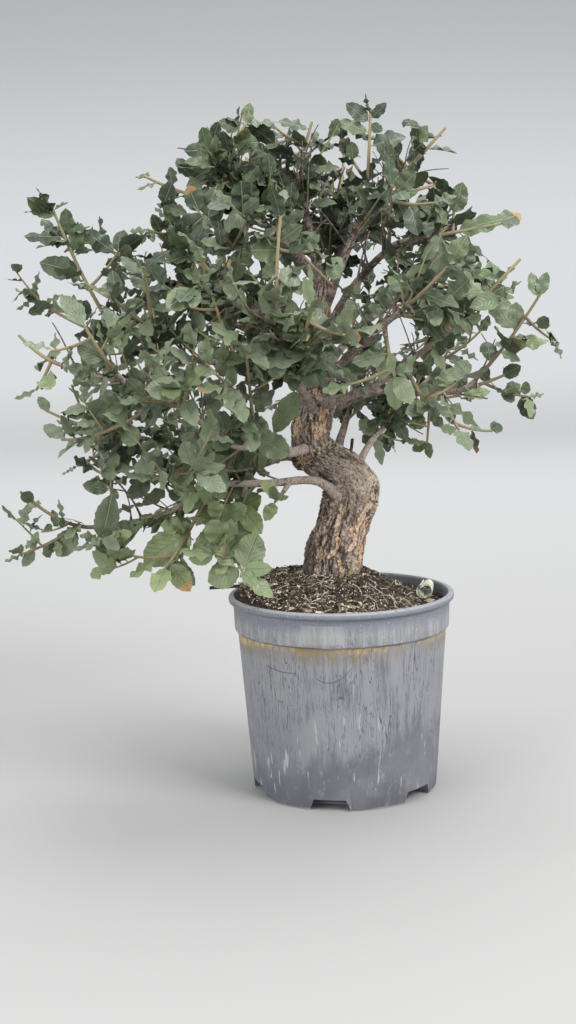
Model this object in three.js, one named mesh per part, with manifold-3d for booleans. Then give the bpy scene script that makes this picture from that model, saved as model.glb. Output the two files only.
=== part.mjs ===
// Cork oak bonsai in a grey plastic nursery pot.
// Millimetres, +Z up, origin at the centre of the pot's flat foot, and -Y is the front.
import * as THREE from 'three';
import { mergeVertices } from 'three/addons/utils/BufferGeometryUtils.js';
import Module from 'manifold-3d';

const wasm = await Module();
wasm.setup();

// Driving dimensions of the pot: a 200 mm nursery pot, blown thin, with a collar and a rolled lip.
const POT = {
  rimRadius: 100, height: 175, footRadius: 82, wall: 1.6, floor: 2.4, lipDepth: 6, lipRound: 2,
  collarRadius: 96, collarDepth: 30, step: 3, edge: 0.8, wallTopRadius: 92.5, sides: 36,
};
// Six drain notches at the foot, the first one a little left of the front, each wider at the bottom.
const NOTCH = { count: 6, first: -101.5, width: 28, flare: 4, height: 10, depth: 20, hole: 9, over: 10 };
// Potting mix: a flat mound round the trunk that drops sharply at the left wall and slopes away to the right.
const SOIL = {
  crown: 193, leftDrop: 17, rightDrop: 30, lump: 1.2, radius: 93.85, trunkGap: 0.45, rings: 4, sides: 36,
};
// Air left between pieces that touch.
const GAP = 0.35;
// Bare black stick that pokes out of the mound over the rim, and a dead leaf rolled into a narrowing tube.
const STICK = { radius: 1.5, from: [-117, 4, 180.5], to: [-38, 12, 182], sides: 8 };
const CURL = {
  at: [75, 3, 172.5], turn: -12, tilt: 6, length: 20, radius: 7.4, wall: 1.8, end: 0.8, oval: 0.12, sides: 12,
};

// Trunk stations from the buried end to the top: x, y, z, radius.
const TRUNK = [
  [-10, 0, 118, 9], [-9, 0, 152, 17], [-8, 0, 184, 25], [-6, 0, 202, 24.5], [-1, 0, 224, 23.5],
  [5, 0, 242, 23], [9, 0, 258, 23.5], [9, 0, 271, 23], [3, 0, 282, 20], [-9, 0, 291, 17.5],
  [-19, 0, 300, 17.5], [-23, 0, 313, 16.5], [-21, 0, 329, 17.5], [-17, 1, 344, 15.5],
  [-13, 2, 362, 12], [-10, 3, 388, 9.5], [-11, 4, 420, 7.5], [-12, 4, 456, 5.5],
];
const TRUNK_SIDES = 14;
const TRUNK_RINGS = 24;
// Cork ridges that run up the trunk and drift round it: share of the radius, ridges round, drift along.
const RIDGES = [[0.055, 5, 9], [0.035, 9, -21], [0.03, 2, 31]];

// Limbs: radius where they leave the trunk, radius at the end, then the points they pass through.
const LIMBS = {
  left_low: [5, 1.9, [0, -14, 262], [-11, -19, 272], [-26, -22, 278], [-60, -30, 277], [-100, -40, 278],
    [-124, -45, 268], [-161, -45, 252], [-208, -40, 245]],
  left_mid: [4.6, 1.8, [-14, 0, 291], [-45, 6, 296], [-80, 16, 288], [-125, 22, 297], [-166, 18, 313],
    [-203, 8, 322]],
  left_front: [5, 1.8, [-19, -6, 306], [-42, -26, 303], [-66, -64, 314], [-88, -98, 318], [-116, -114, 342],
    [-148, -114, 363], [-184, -105, 374], [-224, -90, 385]],
  left_up: [4.4, 1.8, [-17, 1, 344], [-42, 2, 364], [-78, 8, 376], [-120, 20, 382], [-164, 30, 390],
    [-192, 32, 404], [-205, 30, 428]],
  left_back: [4.2, 1.8, [-11, 4, 385], [-48, 38, 412], [-93, 68, 433], [-139, 88, 448], [-176, 95, 468]],
  top_left: [4.2, 1.9, [-12, 4, 446], [-38, -20, 478], [-64, -34, 502], [-83, -40, 524], [-92, -43, 548]],
  top_mid: [4.2, 1.9, [-12, 4, 452], [-20, 12, 496], [-26, 16, 530], [-22, 16, 558]],
  top_right: [4.4, 1.9, [-11, 4, 420], [10, 2, 468], [28, 0, 505], [50, -5, 525], [70, -10, 545]],
  right_up: [4.2, 1.9, [-10, 3, 396], [12, -26, 438], [46, -45, 473], [68, -50, 479], [86, -50, 482]],
  right_front: [4.2, 2, [-13, -6, 362], [6, -56, 382], [34, -102, 409], [54, -124, 426]],
  right_long: [4.4, 1.9, [-18, 0, 340], [18, -44, 354], [42, -64, 368], [79, -80, 396], [108, -86, 422]],
  right_low: [4.6, 2, [-19, 2, 332], [34, 20, 350], [69, 28, 348], [103, 30, 347], [126, 25, 353]],
  right_root: [3.3, 2.1, [10, 8, 272], [28, 20, 302], [40, 32, 314], [58, 50, 324], [80, 66, 333]],
  back_shoulder: [4.4, 1.9, [-4, 12, 288], [8, 44, 318], [17, 74, 338], [28, 100, 360]],
  back_left: [4.4, 1.9, [-15, 4, 352], [-39, 58, 378], [-70, 108, 400], [-98, 138, 414]],
  back_right: [4.2, 1.9, [-12, 4, 368], [20, 58, 402], [54, 106, 424], [80, 132, 442]],
  back_up: [4, 1.9, [-11, 4, 418], [-2, 48, 474], [8, 82, 514]],
  front_mid: [4, 1.9, [-20, -8, 336], [-32, -66, 362], [-41, -112, 385], [-46, -132, 404]],
};
const LIMB_SIDES = 5;
const LIMB_SEGMENT = 33;
const LIMB_TAPER = 0.7;

// Short dead stubs of old wood: radius, sides, then the points.
const STUBS = {
  old_cut: [8, 9, [-16, -4, 300], [-28, -12, 296], [-38, -16, 292]],
  dead_spur: [1.5, 4, [11, 7, 282], [12, 12, 297], [14, 17, 309]],
};

// Leafy sprays: limb, place along the limb, tip, leaf length, bare cut end, then side shoots as [place, tip].
const SPRAYS = {
  left_crest: ['left_up', 1, [-245, 30, 520], 30, 0, [[0.3, [-190, 58, 482]]]],
  left_wing: ['left_up', 0.8, [-270, 40, 443], 24, 0, [[0.5, [-226, 16, 428]]]],
  left_rise: ['left_up', 0.62, [-162, -20, 464], 27, 0, [[0.4, [-186, -42, 438]]]],
  left_inner: ['left_up', 0.36, [-106, -14, 442], 27, 0, [[0.5, [-130, 10, 430]]]],
  far_left: ['left_back', 1, [-241, 95, 502], 26, 0, [[0.5, [-196, 112, 480]]]],
  left_back_rise: ['left_back', 0.7, [-146, 108, 510], 25, 0, [[0.5, [-166, 78, 500]]]],
  left_back_drop: ['left_back', 0.85, [-190, 150, 426], 27, 0, []],
  front_left_tip: ['left_front', 1, [-262, -70, 410], 28, 32, [[0.3, [-246, -96, 366]]]],
  front_left_over: ['left_front', 0.8, [-200, -135, 418], 33, 0, [[0.5, [-228, -125, 398]]]],
  front_left_low: ['left_front', 0.7, [-198, -128, 330], 30, 0, [[0.5, [-226, -104, 326]]]],
  front_left_face: ['left_front', 0.55, [-142, -162, 388], 33, 0, [[0.45, [-120, -156, 366]]]],
  front_left_drop: ['left_front', 0.45, [-152, -128, 294], 36, 0, [[0.6, [-118, -132, 300]]]],
  front_centre: ['left_front', 0.36, [-74, -152, 398], 33, 0, [[0.6, [-104, -162, 386]]]],
  mid_left_tip: ['left_mid', 1, [-254, 0, 343], 24, 0, [[0.3, [-226, -32, 366]]]],
  mid_left_drop: ['left_mid', 0.85, [-232, 20, 292], 28, 0, [[0.5, [-202, -22, 288]]]],
  mid_left_back: ['left_mid', 0.66, [-190, 82, 345], 27, 0, [[0.5, [-214, 58, 330]]]],
  mid_left_low: ['left_mid', 0.5, [-162, -14, 280], 30, 0, [[0.5, [-150, 34, 262]]]],
  mid_left_in: ['left_mid', 0.3, [-106, -72, 296], 33, 0, [[0.6, [-84, -58, 322]]]],
  low_left_tip: ['left_low', 1, [-273, -40, 277], 23, 10, [[0.3, [-275, -50, 224]]]],
  low_left_hang: ['left_low', 0.88, [-206, -60, 231], 30, 0, [[0.3, [-196, -34, 284]]]],
  low_cluster: ['left_low', 0.7, [-150, -72, 212], 37, 0, [[0.5, [-176, -62, 222]]]],
  low_centre: ['left_low', 0.62, [-84, -78, 208], 37, 0, [[0.5, [-106, -84, 226]]]],
  low_pale: ['left_low', 0.5, [-92, -14, 246], 34, 0, [[0.5, [-122, -8, 258]]]],
  low_inner: ['left_low', 0.4, [-56, -48, 263], 25, 0, []],
  top_left_cut: ['top_left', 1, [-103, -45, 575], 30, 22, [[0.3, [-70, -32, 579]]]],
  top_left_side: ['top_left', 0.7, [-160, 0, 541], 24, 0, [[0.5, [-142, -44, 512]]]],
  top_left_face: ['top_left', 0.35, [-92, -128, 474], 31, 0, [[0.5, [-66, -126, 508]]]],
  crown_face: ['front_mid', 1, [-44, -150, 500], 33, 0, [[0.5, [-20, -134, 470]]]],
  crown_left: ['front_mid', 0.75, [-114, -122, 474], 31, 0, [[0.5, [-112, -152, 444]]]],
  crown_front: ['front_mid', 0.6, [-22, -174, 428], 33, 0, [[0.5, [4, -152, 404]]]],
  top_cut: ['top_mid', 1, [-15, 15, 584], 24, 22, [[0.3, [-46, 2, 578]]]],
  top_back: ['top_mid', 0.6, [-56, 58, 562], 26, 0, [[0.5, [-12, 66, 574]]]],
  top_peak: ['top_right', 0.55, [36, 20, 594], 25, 0, [[0.45, [10, 34, 572]]]],
  top_right_cut: ['top_right', 1, [97, -10, 573], 26, 18, [[0.3, [70, 16, 580]]]],
  top_right_back: ['top_right', 0.72, [102, 50, 535], 26, 14, [[0.5, [62, 58, 556]]]],
  right_face: ['right_up', 0.5, [46, -78, 522], 30, 0, [[0.5, [78, -88, 506]]]],
  right_crest: ['right_up', 1, [137, -50, 490], 32, 0, [[0.3, [101, -32, 510]]]],
  right_front_tip: ['right_front', 1, [84, -148, 456], 32, 0, [[0.4, [98, -122, 432]]]],
  right_front_low: ['right_front', 0.6, [40, -152, 372], 34, 0, [[0.5, [2, -142, 366]]]],
  long_tip: ['right_long', 1, [148, -85, 460], 30, 16, [[0.3, [128, -112, 430]]]],
  long_mid: ['right_long', 0.75, [104, -66, 452], 30, 0, [[0.5, [72, -98, 444]]]],
  long_low: ['right_long', 0.5, [70, -102, 346], 32, 0, [[0.5, [96, -84, 362]]]],
  right_rise: ['right_low', 0.9, [180, 0, 434], 30, 0, [[0.5, [188, -8, 392]]]],
  right_low_cut: ['right_low', 1, [152, 25, 362], 25, 12, [[0.3, [172, 12, 342]]]],
  right_hang: ['right_low', 0.66, [104, -20, 318], 31, 0, [[0.5, [136, 2, 314]]]],
  right_back: ['right_low', 0.5, [110, 96, 384], 28, 0, [[0.5, [136, 72, 400]]]],
  root_tip: ['right_root', 1, [118, 88, 340], 26, 0, [[0.4, [84, 58, 300]]]],
  back_shoulder: ['back_shoulder', 1, [58, 150, 376], 28, 0, [[0.5, [14, 150, 392]]]],
  back_low: ['back_shoulder', 0.6, [-18, 128, 348], 28, 0, []],
  back_left_tip: ['back_left', 1, [-146, 172, 442], 28, 0, [[0.5, [-98, 180, 462]]]],
  back_left_low: ['back_left', 0.62, [-124, 146, 360], 28, 0, [[0.5, [-72, 160, 372]]]],
  back_right_tip: ['back_right', 1, [126, 160, 478], 28, 0, [[0.5, [86, 172, 486]]]],
  back_right_low: ['back_right', 0.66, [124, 138, 398], 28, 0, [[0.5, [84, 158, 388]]]],
  back_top: ['back_up', 1, [16, 112, 566], 26, 0, [[0.5, [-34, 122, 542]]]],
  back_mid: ['back_up', 0.55, [68, 118, 516], 27, 0, [[0.5, [36, 136, 494]]]],
};
// Twig radii and how the leaves sit on them.
const TWIG = { foot: 2.2, root: 1.9, tip: 1.2, sides: 3, woody: 12, sag: 0.1, knee: 0.4, segment: 46 };
const FORK = { thick: 0.85, leaf: 0.9, bare: 0.2, segments: 2 };
const LEAF = {
  pitch: 20, bare: 0.08, ratio: 0.62, rib: 0.7, edge: 0.06, root: 0.3, lift: 0.12, tries: 6, shrink: 0.93,
};
// One side of the blade, with two teeth and a notch between: share of the length, share of the width.
const MARGIN = [[0.27, 0.86], [0.46, 0.72], [0.64, 0.95]];
// The thickest point of the blade, on its rib.
const RIB = 0.42;
// The least and the most that a leaf is turned, bent and sized: angles in degrees, the rest as shares.
const POSE = {
  turn: [-12, 12], lean: [48, 74], roll: [-25, 25], size: [0.74, 1.14], arch: [-0.06, 0.28],
  fold: [-0.28, 0.22], wave: [0.5, 1.5],
};
// The leaf that ends a shoot is smaller and points onward.
const END_LEAF = { place: 0.94, lean: 26, size: 0.85 };
// Leaves face the sky, the viewer and the tip of their own shoot.
const SKY = [0, -0.25, 0.8];
const ONWARD = 0.6;

const vec = (p) => new THREE.Vector3(p[0], p[1], p[2]);
const rad = THREE.MathUtils.degToRad;

// Repeatable draws from 0 to 1.
function drawsFrom(seed) {
  let state = seed;
  return () => {
    state = (state * 1664525 + 1013904223) % 4294967296;
    return state / 4294967296;
  };
}

// A three.js geometry as a manifold solid, and back.
function solidOf(geometry) {
  const bare = geometry.clone();
  bare.deleteAttribute('normal');
  bare.deleteAttribute('uv');
  const merged = mergeVertices(bare, 1e-4);
  return new wasm.Manifold(new wasm.Mesh({
    numProp: 3,
    vertProperties: new Float32Array(merged.attributes.position.array),
    triVerts: new Uint32Array(merged.index.array),
  }));
}

function geometryOf(solid) {
  const mesh = solid.getMesh();
  const geometry = new THREE.BufferGeometry();
  geometry.setAttribute('position', new THREE.BufferAttribute(mesh.vertProperties, 3));
  geometry.setIndex(new THREE.BufferAttribute(mesh.triVerts, 1));
  geometry.computeVertexNormals();
  return geometry;
}

function join(solids) {
  return solids.reduce((all, one) => all.add(one));
}

// A stem is a row of stations along a stretch of a curve. Each holds its point and the directions round it.
class Stem {
  constructor(curve, from, to, segments) {
    this.stations = Array.from({ length: segments + 1 }, (_, i) => {
      const place = THREE.MathUtils.lerp(from, to, i / segments);
      return { at: curve.getPoint(place), along: curve.getTangent(place) };
    });
    let side = Math.abs(this.stations[0].along.y) > 0.8 ? vec([1, 0, 0]) : vec([0, 1, 0]);
    for (const station of this.stations) {
      side = side.clone().addScaledVector(station.along, -side.dot(station.along)).normalize();
      station.side = side;
      station.cross = new THREE.Vector3().crossVectors(station.along, side);
    }
    this.length = this.stations.slice(1)
      .reduce((sum, { at }, i) => sum + at.distanceTo(this.stations[i].at), 0);
  }

  // The point and directions at a place from 0 to 1, straight between two stations.
  station(place) {
    const spot = place * (this.stations.length - 1);
    const below = Math.min(Math.floor(spot), this.stations.length - 2);
    const [near, far] = this.stations.slice(below, below + 2);
    const mixed = (key) => near[key].clone().lerp(far[key], spot - below);
    return { at: mixed('at'), along: mixed('along').normalize(), side: mixed('side'), cross: mixed('cross') };
  }

  // The place midway between the two stations round another place, where a side stem joins cleanly.
  midway(place) {
    const segments = this.stations.length - 1;
    return (Math.floor(place * segments) + 0.5) / segments;
  }

  // A closed cylinder whose rings are carried to the stations, with a radius for each place and angle.
  solid(sides, radiusAt) {
    const rings = this.stations.length - 1;
    const geometry = new THREE.CylinderGeometry(1, 1, 1, sides, rings);
    const spots = geometry.attributes.position;
    for (let i = 0; i < spots.count; i++) {
      const place = 0.5 - spots.getY(i);
      const { at, side, cross } = this.stations[Math.round(place * rings)];
      const x = spots.getX(i);
      const z = spots.getZ(i);
      const radius = radiusAt(place, Math.atan2(z, x));
      const spot = at.clone().addScaledVector(side, x * radius).addScaledVector(cross, z * radius);
      spots.setXYZ(i, spot.x, spot.y, spot.z);
    }
    return solidOf(geometry);
  }
}

// The curve through a list of points.
function through(points) {
  return new THREE.CatmullRomCurve3(points.map(vec), false, 'catmullrom', 0.5);
}

// Radius of the trunk at a place from 0 to 1, between its stations.
function trunkRadius(place) {
  const spot = place * (TRUNK.length - 1);
  const below = Math.min(Math.floor(spot), TRUNK.length - 2);
  return THREE.MathUtils.lerp(TRUNK[below][3], TRUNK[below + 1][3], spot - below);
}

// The trunk, grown by a margin for the hole that it stands in.
function trunkSolid(margin) {
  const ridged = (place, angle) =>
    RIDGES.reduce((sum, [share, round, drift]) => sum + share * Math.sin(round * angle + drift * place), 1);
  return new Stem(through(TRUNK), 0, 1, TRUNK_RINGS)
    .solid(TRUNK_SIDES, (place, angle) => trunkRadius(place) * ridged(place, angle) + margin);
}

// A profile of radii and heights turned round the pot's axis.
function turned(profile, sides) {
  const outline = profile.map(([radius, z]) => new THREE.Vector2(radius, z));
  return new THREE.LatheGeometry(outline, sides).rotateX(Math.PI / 2);
}

// The pot is a turned shell, less its drain notches.
function potSolid() {
  const { rimRadius, height, footRadius, wall, floor, lipDepth, lipRound, collarRadius, step, edge } = POT;
  const collarFoot = height - POT.collarDepth;
  const lipFoot = height - lipDepth;
  const outside = solidOf(turned([
    [0, 0], [footRadius, 0], [POT.wallTopRadius, collarFoot - step], [collarRadius - edge, collarFoot],
    [collarRadius, lipFoot], [rimRadius - edge, lipFoot + edge], [rimRadius, height - lipRound],
    [rimRadius - lipRound, height], [0, height],
  ], POT.sides));
  const open = height + lipRound;
  const inside = solidOf(turned([
    [0, floor], [footRadius - wall, floor], [POT.wallTopRadius - wall, collarFoot - step],
    [collarRadius - wall - edge, collarFoot], [collarRadius - wall, open], [0, open],
  ], POT.sides));
  return outside.subtract(notches(0)).subtract(inside.subtract(notches(wall))).subtract(drainHoles());
}

// The notch blocks at the foot, grown by a margin. Each reaches past the wall and below the foot.
function notches(margin) {
  const { width, flare, height, depth, over } = NOTCH;
  const top = height + margin;
  const half = width / 2 + margin;
  const wide = half + flare * (top + over) / height;
  const outline = [[-wide, -over], [wide, -over], [half, top], [-half, top]];
  const shape = new THREE.Shape(outline.map(([across, up]) => new THREE.Vector2(across, up)));
  return aroundFoot(() =>
    new THREE.ExtrudeGeometry(shape, { depth: depth + margin + over, bevelEnabled: false })
      .rotateX(Math.PI / 2).rotateZ(Math.PI / 2).translate(POT.footRadius - depth - margin, 0, 0));
}

// One hole in the roof of each notch lets water out of the soil.
function drainHoles() {
  const { hole, height, depth } = NOTCH;
  return aroundFoot(() =>
    new THREE.BoxGeometry(hole, hole, hole).translate(POT.footRadius - depth + hole, 0, height));
}

function aroundFoot(make) {
  return join(Array.from({ length: NOTCH.count }, (_, i) =>
    solidOf(make().rotateZ(rad(NOTCH.first + i * 360 / NOTCH.count)))));
}

// Height of the potting mix at a place on the plan.
function soilHeight(x, y) {
  const out = Math.min(Math.hypot(x, y) / SOIL.radius, 1);
  const right = 0.5 + 0.5 * x / Math.max(Math.hypot(x, y), 1);
  const slope = THREE.MathUtils.smoothstep(out, 0.2, 0.85);
  const lumps = Math.sin(x / 8 + 1) * Math.sin(y / 9) + 0.6 * Math.sin(x / 5 - y / 6);
  const drop = THREE.MathUtils.lerp(SOIL.leftDrop * out ** 6, SOIL.rightDrop * slope, right);
  return SOIL.crown - drop + SOIL.lump * lumps;
}

// The soil fills the pot to the wall, and its top is a ring grid raised by soilHeight.
function soilSolid() {
  const { rings, radius, sides } = SOIL;
  const { footRadius, floor, wallTopRadius, height, collarRadius, collarDepth } = POT;
  const inset = POT.wall + GAP;
  const collarFoot = height - collarDepth;
  const profile = [
    [0, floor + GAP], [footRadius - inset, floor + GAP], [wallTopRadius - inset, collarFoot - POT.step],
    [collarRadius - POT.edge - inset, collarFoot],
  ];
  for (let i = 0; i <= rings; i++) profile.push([radius * (1 - i / rings), height]);
  const mound = turned(profile, sides);
  const spots = mound.attributes.position;
  for (let i = 0; i < spots.count; i++)
    if (spots.getZ(i) > collarFoot + GAP) spots.setZ(i, soilHeight(spots.getX(i), spots.getY(i)));
  const hole = trunkSolid(SOIL.trunkGap).add(stickSolid(GAP));
  return solidOf(mound).subtract(notches(inset)).subtract(hole);
}

// The stick, or the plain hole that it lies in when there is a margin, which is longer by the margin too.
function stickSolid(margin) {
  const curve = new THREE.LineCurve3(vec(STICK.from), vec(STICK.to));
  const end = 1 + margin / curve.getLength();
  return new Stem(curve, 0, end, 1).solid(STICK.sides, () => STICK.radius + margin);
}

// A fallen leaf that has dried into an open tube, narrower at one end, lying on its own axis.
function curlGeometry() {
  const { length, radius, wall, end, oval, sides } = CURL;
  const far = radius * end;
  const profile = [[radius, 0], [far, length], [far - wall, length], [radius - wall, 0], [radius, 0]];
  const geometry = new THREE.LatheGeometry(profile.map(([r, z]) => new THREE.Vector2(r, z)), sides);
  const spots = geometry.attributes.position;
  for (let i = 0; i < spots.count; i++) {
    const angle = Math.atan2(spots.getZ(i), spots.getX(i));
    const swell = 1 + oval * Math.sin(2 * angle);
    spots.setX(i, spots.getX(i) * swell);
    spots.setZ(i, spots.getZ(i) * swell);
  }
  return geometry;
}

// A shoot's curve sags between its ends, unless it carries straight on from the limb that it ends.
function shootCurve(from, to, onward) {
  const reach = from.distanceTo(to);
  const knee = onward ? from.clone().addScaledVector(onward, TWIG.knee * reach) : from.clone().lerp(to, 0.5);
  if (!onward) knee.z -= TWIG.sag * reach;
  return new THREE.QuadraticBezierCurve3(from, knee, to);
}

// The curve of a spray's main shoot. One at a limb's end starts a hair beyond it, and others inside it.
function mainCurve([limb, at, tip], limbs) {
  if (at < 1) return shootCurve(limbs[limb].station(limbs[limb].midway(at)).at, vec(tip));
  const end = limbs[limb].station(1);
  return shootCurve(end.at.addScaledVector(end.along, GAP), vec(tip), end.along);
}

// The green stems of a spray: its main shoot beyond the woody foot, then its side shoots.
function stemsOf(spray, limbs) {
  const [, at, , , , forks] = spray;
  const curve = mainCurve(spray, limbs);
  const start = at < 1 ? (TWIG.woody + GAP) / curve.getLength() : 0;
  const segments = Math.max(2, Math.round(curve.getLength() / TWIG.segment));
  const main = new Stem(curve, start, 1, segments);
  const fork = ([place, end]) => {
    const side = shootCurve(main.station(main.midway(place)).at, vec(end));
    return new Stem(side, 0, 1, FORK.segments);
  };
  return [main, ...forks.map(fork)];
}

// Trunk, limbs, stubs and the woody foot of every side spray, grown as one piece.
function woodSolid(limbs) {
  const parts = [trunkSolid(0)];
  for (const [name, [thick, thin]] of Object.entries(LIMBS)) {
    const radiusAt = (place) => THREE.MathUtils.lerp(thick, thin, place ** LIMB_TAPER);
    parts.push(limbs[name].solid(LIMB_SIDES, radiusAt));
  }
  for (const [radius, sides, ...points] of Object.values(STUBS))
    parts.push(new Stem(through(points), 0, 1, points.length - 1).solid(sides, () => radius));
  for (const spray of Object.values(SPRAYS).filter(([, at]) => at < 1)) {
    const curve = mainCurve(spray, limbs);
    parts.push(new Stem(curve, 0, TWIG.woody / curve.getLength(), 1)
      .solid(TWIG.sides, (place) => THREE.MathUtils.lerp(TWIG.foot, TWIG.root, place)));
  }
  return join(parts);
}

// A toothed blade, arched and waved, alike on both faces, thickest along the rib.
function bladeGeometry({ length, arch, fold, wave }) {
  const half = length * LEAF.ratio / 2;
  const flat = [[LEAF.root, 0, 0]];
  for (const side of [1, -1])
    MARGIN.forEach(([along, out], i) =>
      flat.push([along * length, side * out * half, (i % 2 ? -1 : 1) * side * wave * length * LEAF.edge]));
  const tip = flat.push([length, 0, 0]) - 1;
  for (const face of [1, -1]) flat.push([RIB * length, 0, face * LEAF.rib]);
  const spots = flat.flatMap(([x, y, z]) => [x, y, z - arch * x * x / length + fold * Math.abs(y)]);
  const faces = [];
  for (const [side, a] of [[1, 1], [-1, 1 + MARGIN.length]])
    for (const [face, rib] of [[1, tip + 1], [-1, tip + 2]])
      for (const [p, q] of [[0, a], [a, a + 1], [a + 1, a + 2], [a + 2, tip]])
        faces.push(...(side * face > 0 ? [p, rib, q] : [p, q, rib]));
  const geometry = new THREE.BufferGeometry();
  geometry.setAttribute('position', new THREE.Float32BufferAttribute(spots, 3));
  geometry.setIndex(faces);
  return geometry;
}

// Where the leaves of one stem go, and how each is bent. Every leaf takes the same number of draws.
function leafSites(stem, size, bare, start, draw) {
  const end = 1 - bare / stem.length;
  const count = Math.max(2, Math.round((end - start) * stem.length / LEAF.pitch));
  const first = Math.floor(TWIG.sides * draw());
  return Array.from({ length: count }, (_, i) => {
    const pose = Object.fromEntries(Object.entries(POSE).map(([key, [least, most]]) =>
      [key, THREE.MathUtils.lerp(least, most, draw())]));
    const site = { ...pose, stem, rank: first + i, length: size * pose.size };
    if (i === count - 1 && bare === 0)
      return { ...site, place: END_LEAF.place, lean: END_LEAF.lean, length: site.length * END_LEAF.size };
    return { ...site, place: start + (end - start) * (i + 0.6) / count };
  });
}

// A blade turned to its place. Each further try moves it to the next face of the twig, a little smaller.
function bladeSolid(site, attempt) {
  const { at, along, side, cross } = site.stem.station(site.place);
  const turn = rad((site.rank + attempt + 0.25) * 360 / TWIG.sides + site.turn);
  const lean = rad(site.lean);
  const out = side.clone().multiplyScalar(Math.cos(turn)).addScaledVector(cross, Math.sin(turn));
  const axis = along.clone().multiplyScalar(Math.cos(lean)).addScaledVector(out, Math.sin(lean));
  axis.z += LEAF.lift;
  axis.normalize();
  const up = vec(SKY).addScaledVector(along, ONWARD);
  up.addScaledVector(axis, -up.dot(axis)).normalize();
  const frame = new THREE.Matrix4().makeBasis(axis, new THREE.Vector3().crossVectors(up, axis), up);
  return solidOf(bladeGeometry({ ...site, length: site.length * LEAF.shrink ** attempt })
    .rotateX(rad(site.roll)).applyMatrix4(frame).translate(at.x, at.y, at.z));
}

// Everything that is already placed, so that a new leaf can be held clear of it.
class Crown {
  constructor() {
    this.placed = [];
  }

  add(node, kind, solid) {
    this.placed.push({ node, kind, solid, box: solid.boundingBox() });
  }

  // A leaf may cross the stems of its own spray, just clears its own spray's leaves, and gives others room.
  clears(node, leaf) {
    const box = leaf.boundingBox();
    const near = this.placed.filter((other) => !(other.node === node && other.kind === 'stem')
      && [0, 1, 2].every((k) => box.min[k] - GAP < other.box.max[k] && box.max[k] + GAP > other.box.min[k]));
    return near.every((other) => (other.node === node
      ? leaf.intersect(other.solid).volume() < 1e-6
      : leaf.minGap(other.solid, 2 * GAP) > GAP));
  }
}

const bark = new THREE.MeshStandardMaterial({ color: 0x7d6c5c, roughness: 0.95 });
const leafGreen = new THREE.MeshStandardMaterial({ color: 0x566b4a, roughness: 0.6 });
const greyPlastic = new THREE.MeshStandardMaterial({ color: 0x8b8d92, roughness: 0.7 });
const mix = new THREE.MeshStandardMaterial({ color: 0x3d3028, roughness: 1 });
const blackPlastic = new THREE.MeshStandardMaterial({ color: 0x17181c, roughness: 0.5 });
const dryLeaf = new THREE.MeshStandardMaterial({ color: 0x9fb08c, roughness: 0.8 });

function mesh(name, geometry, material) {
  const made = new THREE.Mesh(geometry, material);
  made.name = name;
  return made;
}

function pottedBase() {
  const group = new THREE.Group();
  group.add(mesh('pot', geometryOf(potSolid()), greyPlastic));
  group.add(mesh('soil', geometryOf(soilSolid()), mix));
  group.add(mesh('stick', geometryOf(stickSolid(0)), blackPlastic));
  const curl = mesh('curled_leaf', curlGeometry(), dryLeaf);
  curl.position.set(...CURL.at);
  curl.rotation.set(rad(CURL.tilt), 0, rad(CURL.turn), 'ZXY');
  group.add(curl);
  return group;
}

// The wood first, then every stem, and then the leaves one spray after another.
function tree() {
  const limbs = {};
  for (const [name, [, , ...points]] of Object.entries(LIMBS)) {
    const curve = through(points);
    limbs[name] = new Stem(curve, 0, 1, Math.round(curve.getLength() / LIMB_SEGMENT));
  }
  const group = new THREE.Group();
  const crown = new Crown();
  const wood = woodSolid(limbs);
  group.add(mesh('trunk_and_limbs', geometryOf(wood), bark));
  crown.add('wood', 'stem', wood);
  const sprays = Object.entries(SPRAYS).map(([name, spray], i) => {
    const stems = stemsOf(spray, limbs);
    const solids = stems.map((stem, k) => stem.solid(TWIG.sides, (place) =>
      (k ? FORK.thick : 1) * THREE.MathUtils.lerp(TWIG.root, TWIG.tip, place)));
    solids.forEach((solid) => crown.add(name, 'stem', solid));
    return { name, size: spray[3], bare: spray[4], stems, solids, draw: drawsFrom(7919 * (i + 1)) };
  });
  for (const { name, size, bare, stems, solids, draw } of sprays) {
    const sites = stems.flatMap((stem, k) => (k
      ? leafSites(stem, FORK.leaf * size, 0, FORK.bare, draw)
      : leafSites(stem, size, bare, LEAF.bare, draw)));
    for (const site of sites)
      for (let attempt = 0; attempt < LEAF.tries; attempt++) {
        const leaf = bladeSolid(site, attempt);
        if (!crown.clears(name, leaf)) continue;
        crown.add(name, 'leaf', leaf);
        solids.push(leaf);
        break;
      }
    group.add(mesh('spray_' + name, geometryOf(join(solids)), leafGreen));
  }
  return group;
}

const bonsai = new THREE.Group();
bonsai.add(pottedBase(), tree());

export default bonsai;
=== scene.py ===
import logging
import math
from dataclasses import dataclass, field
from enum import Enum
from typing import Callable, Sequence

import bpy
import numpy as np
from mathutils import Matrix, Vector, kdtree, noise


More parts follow.
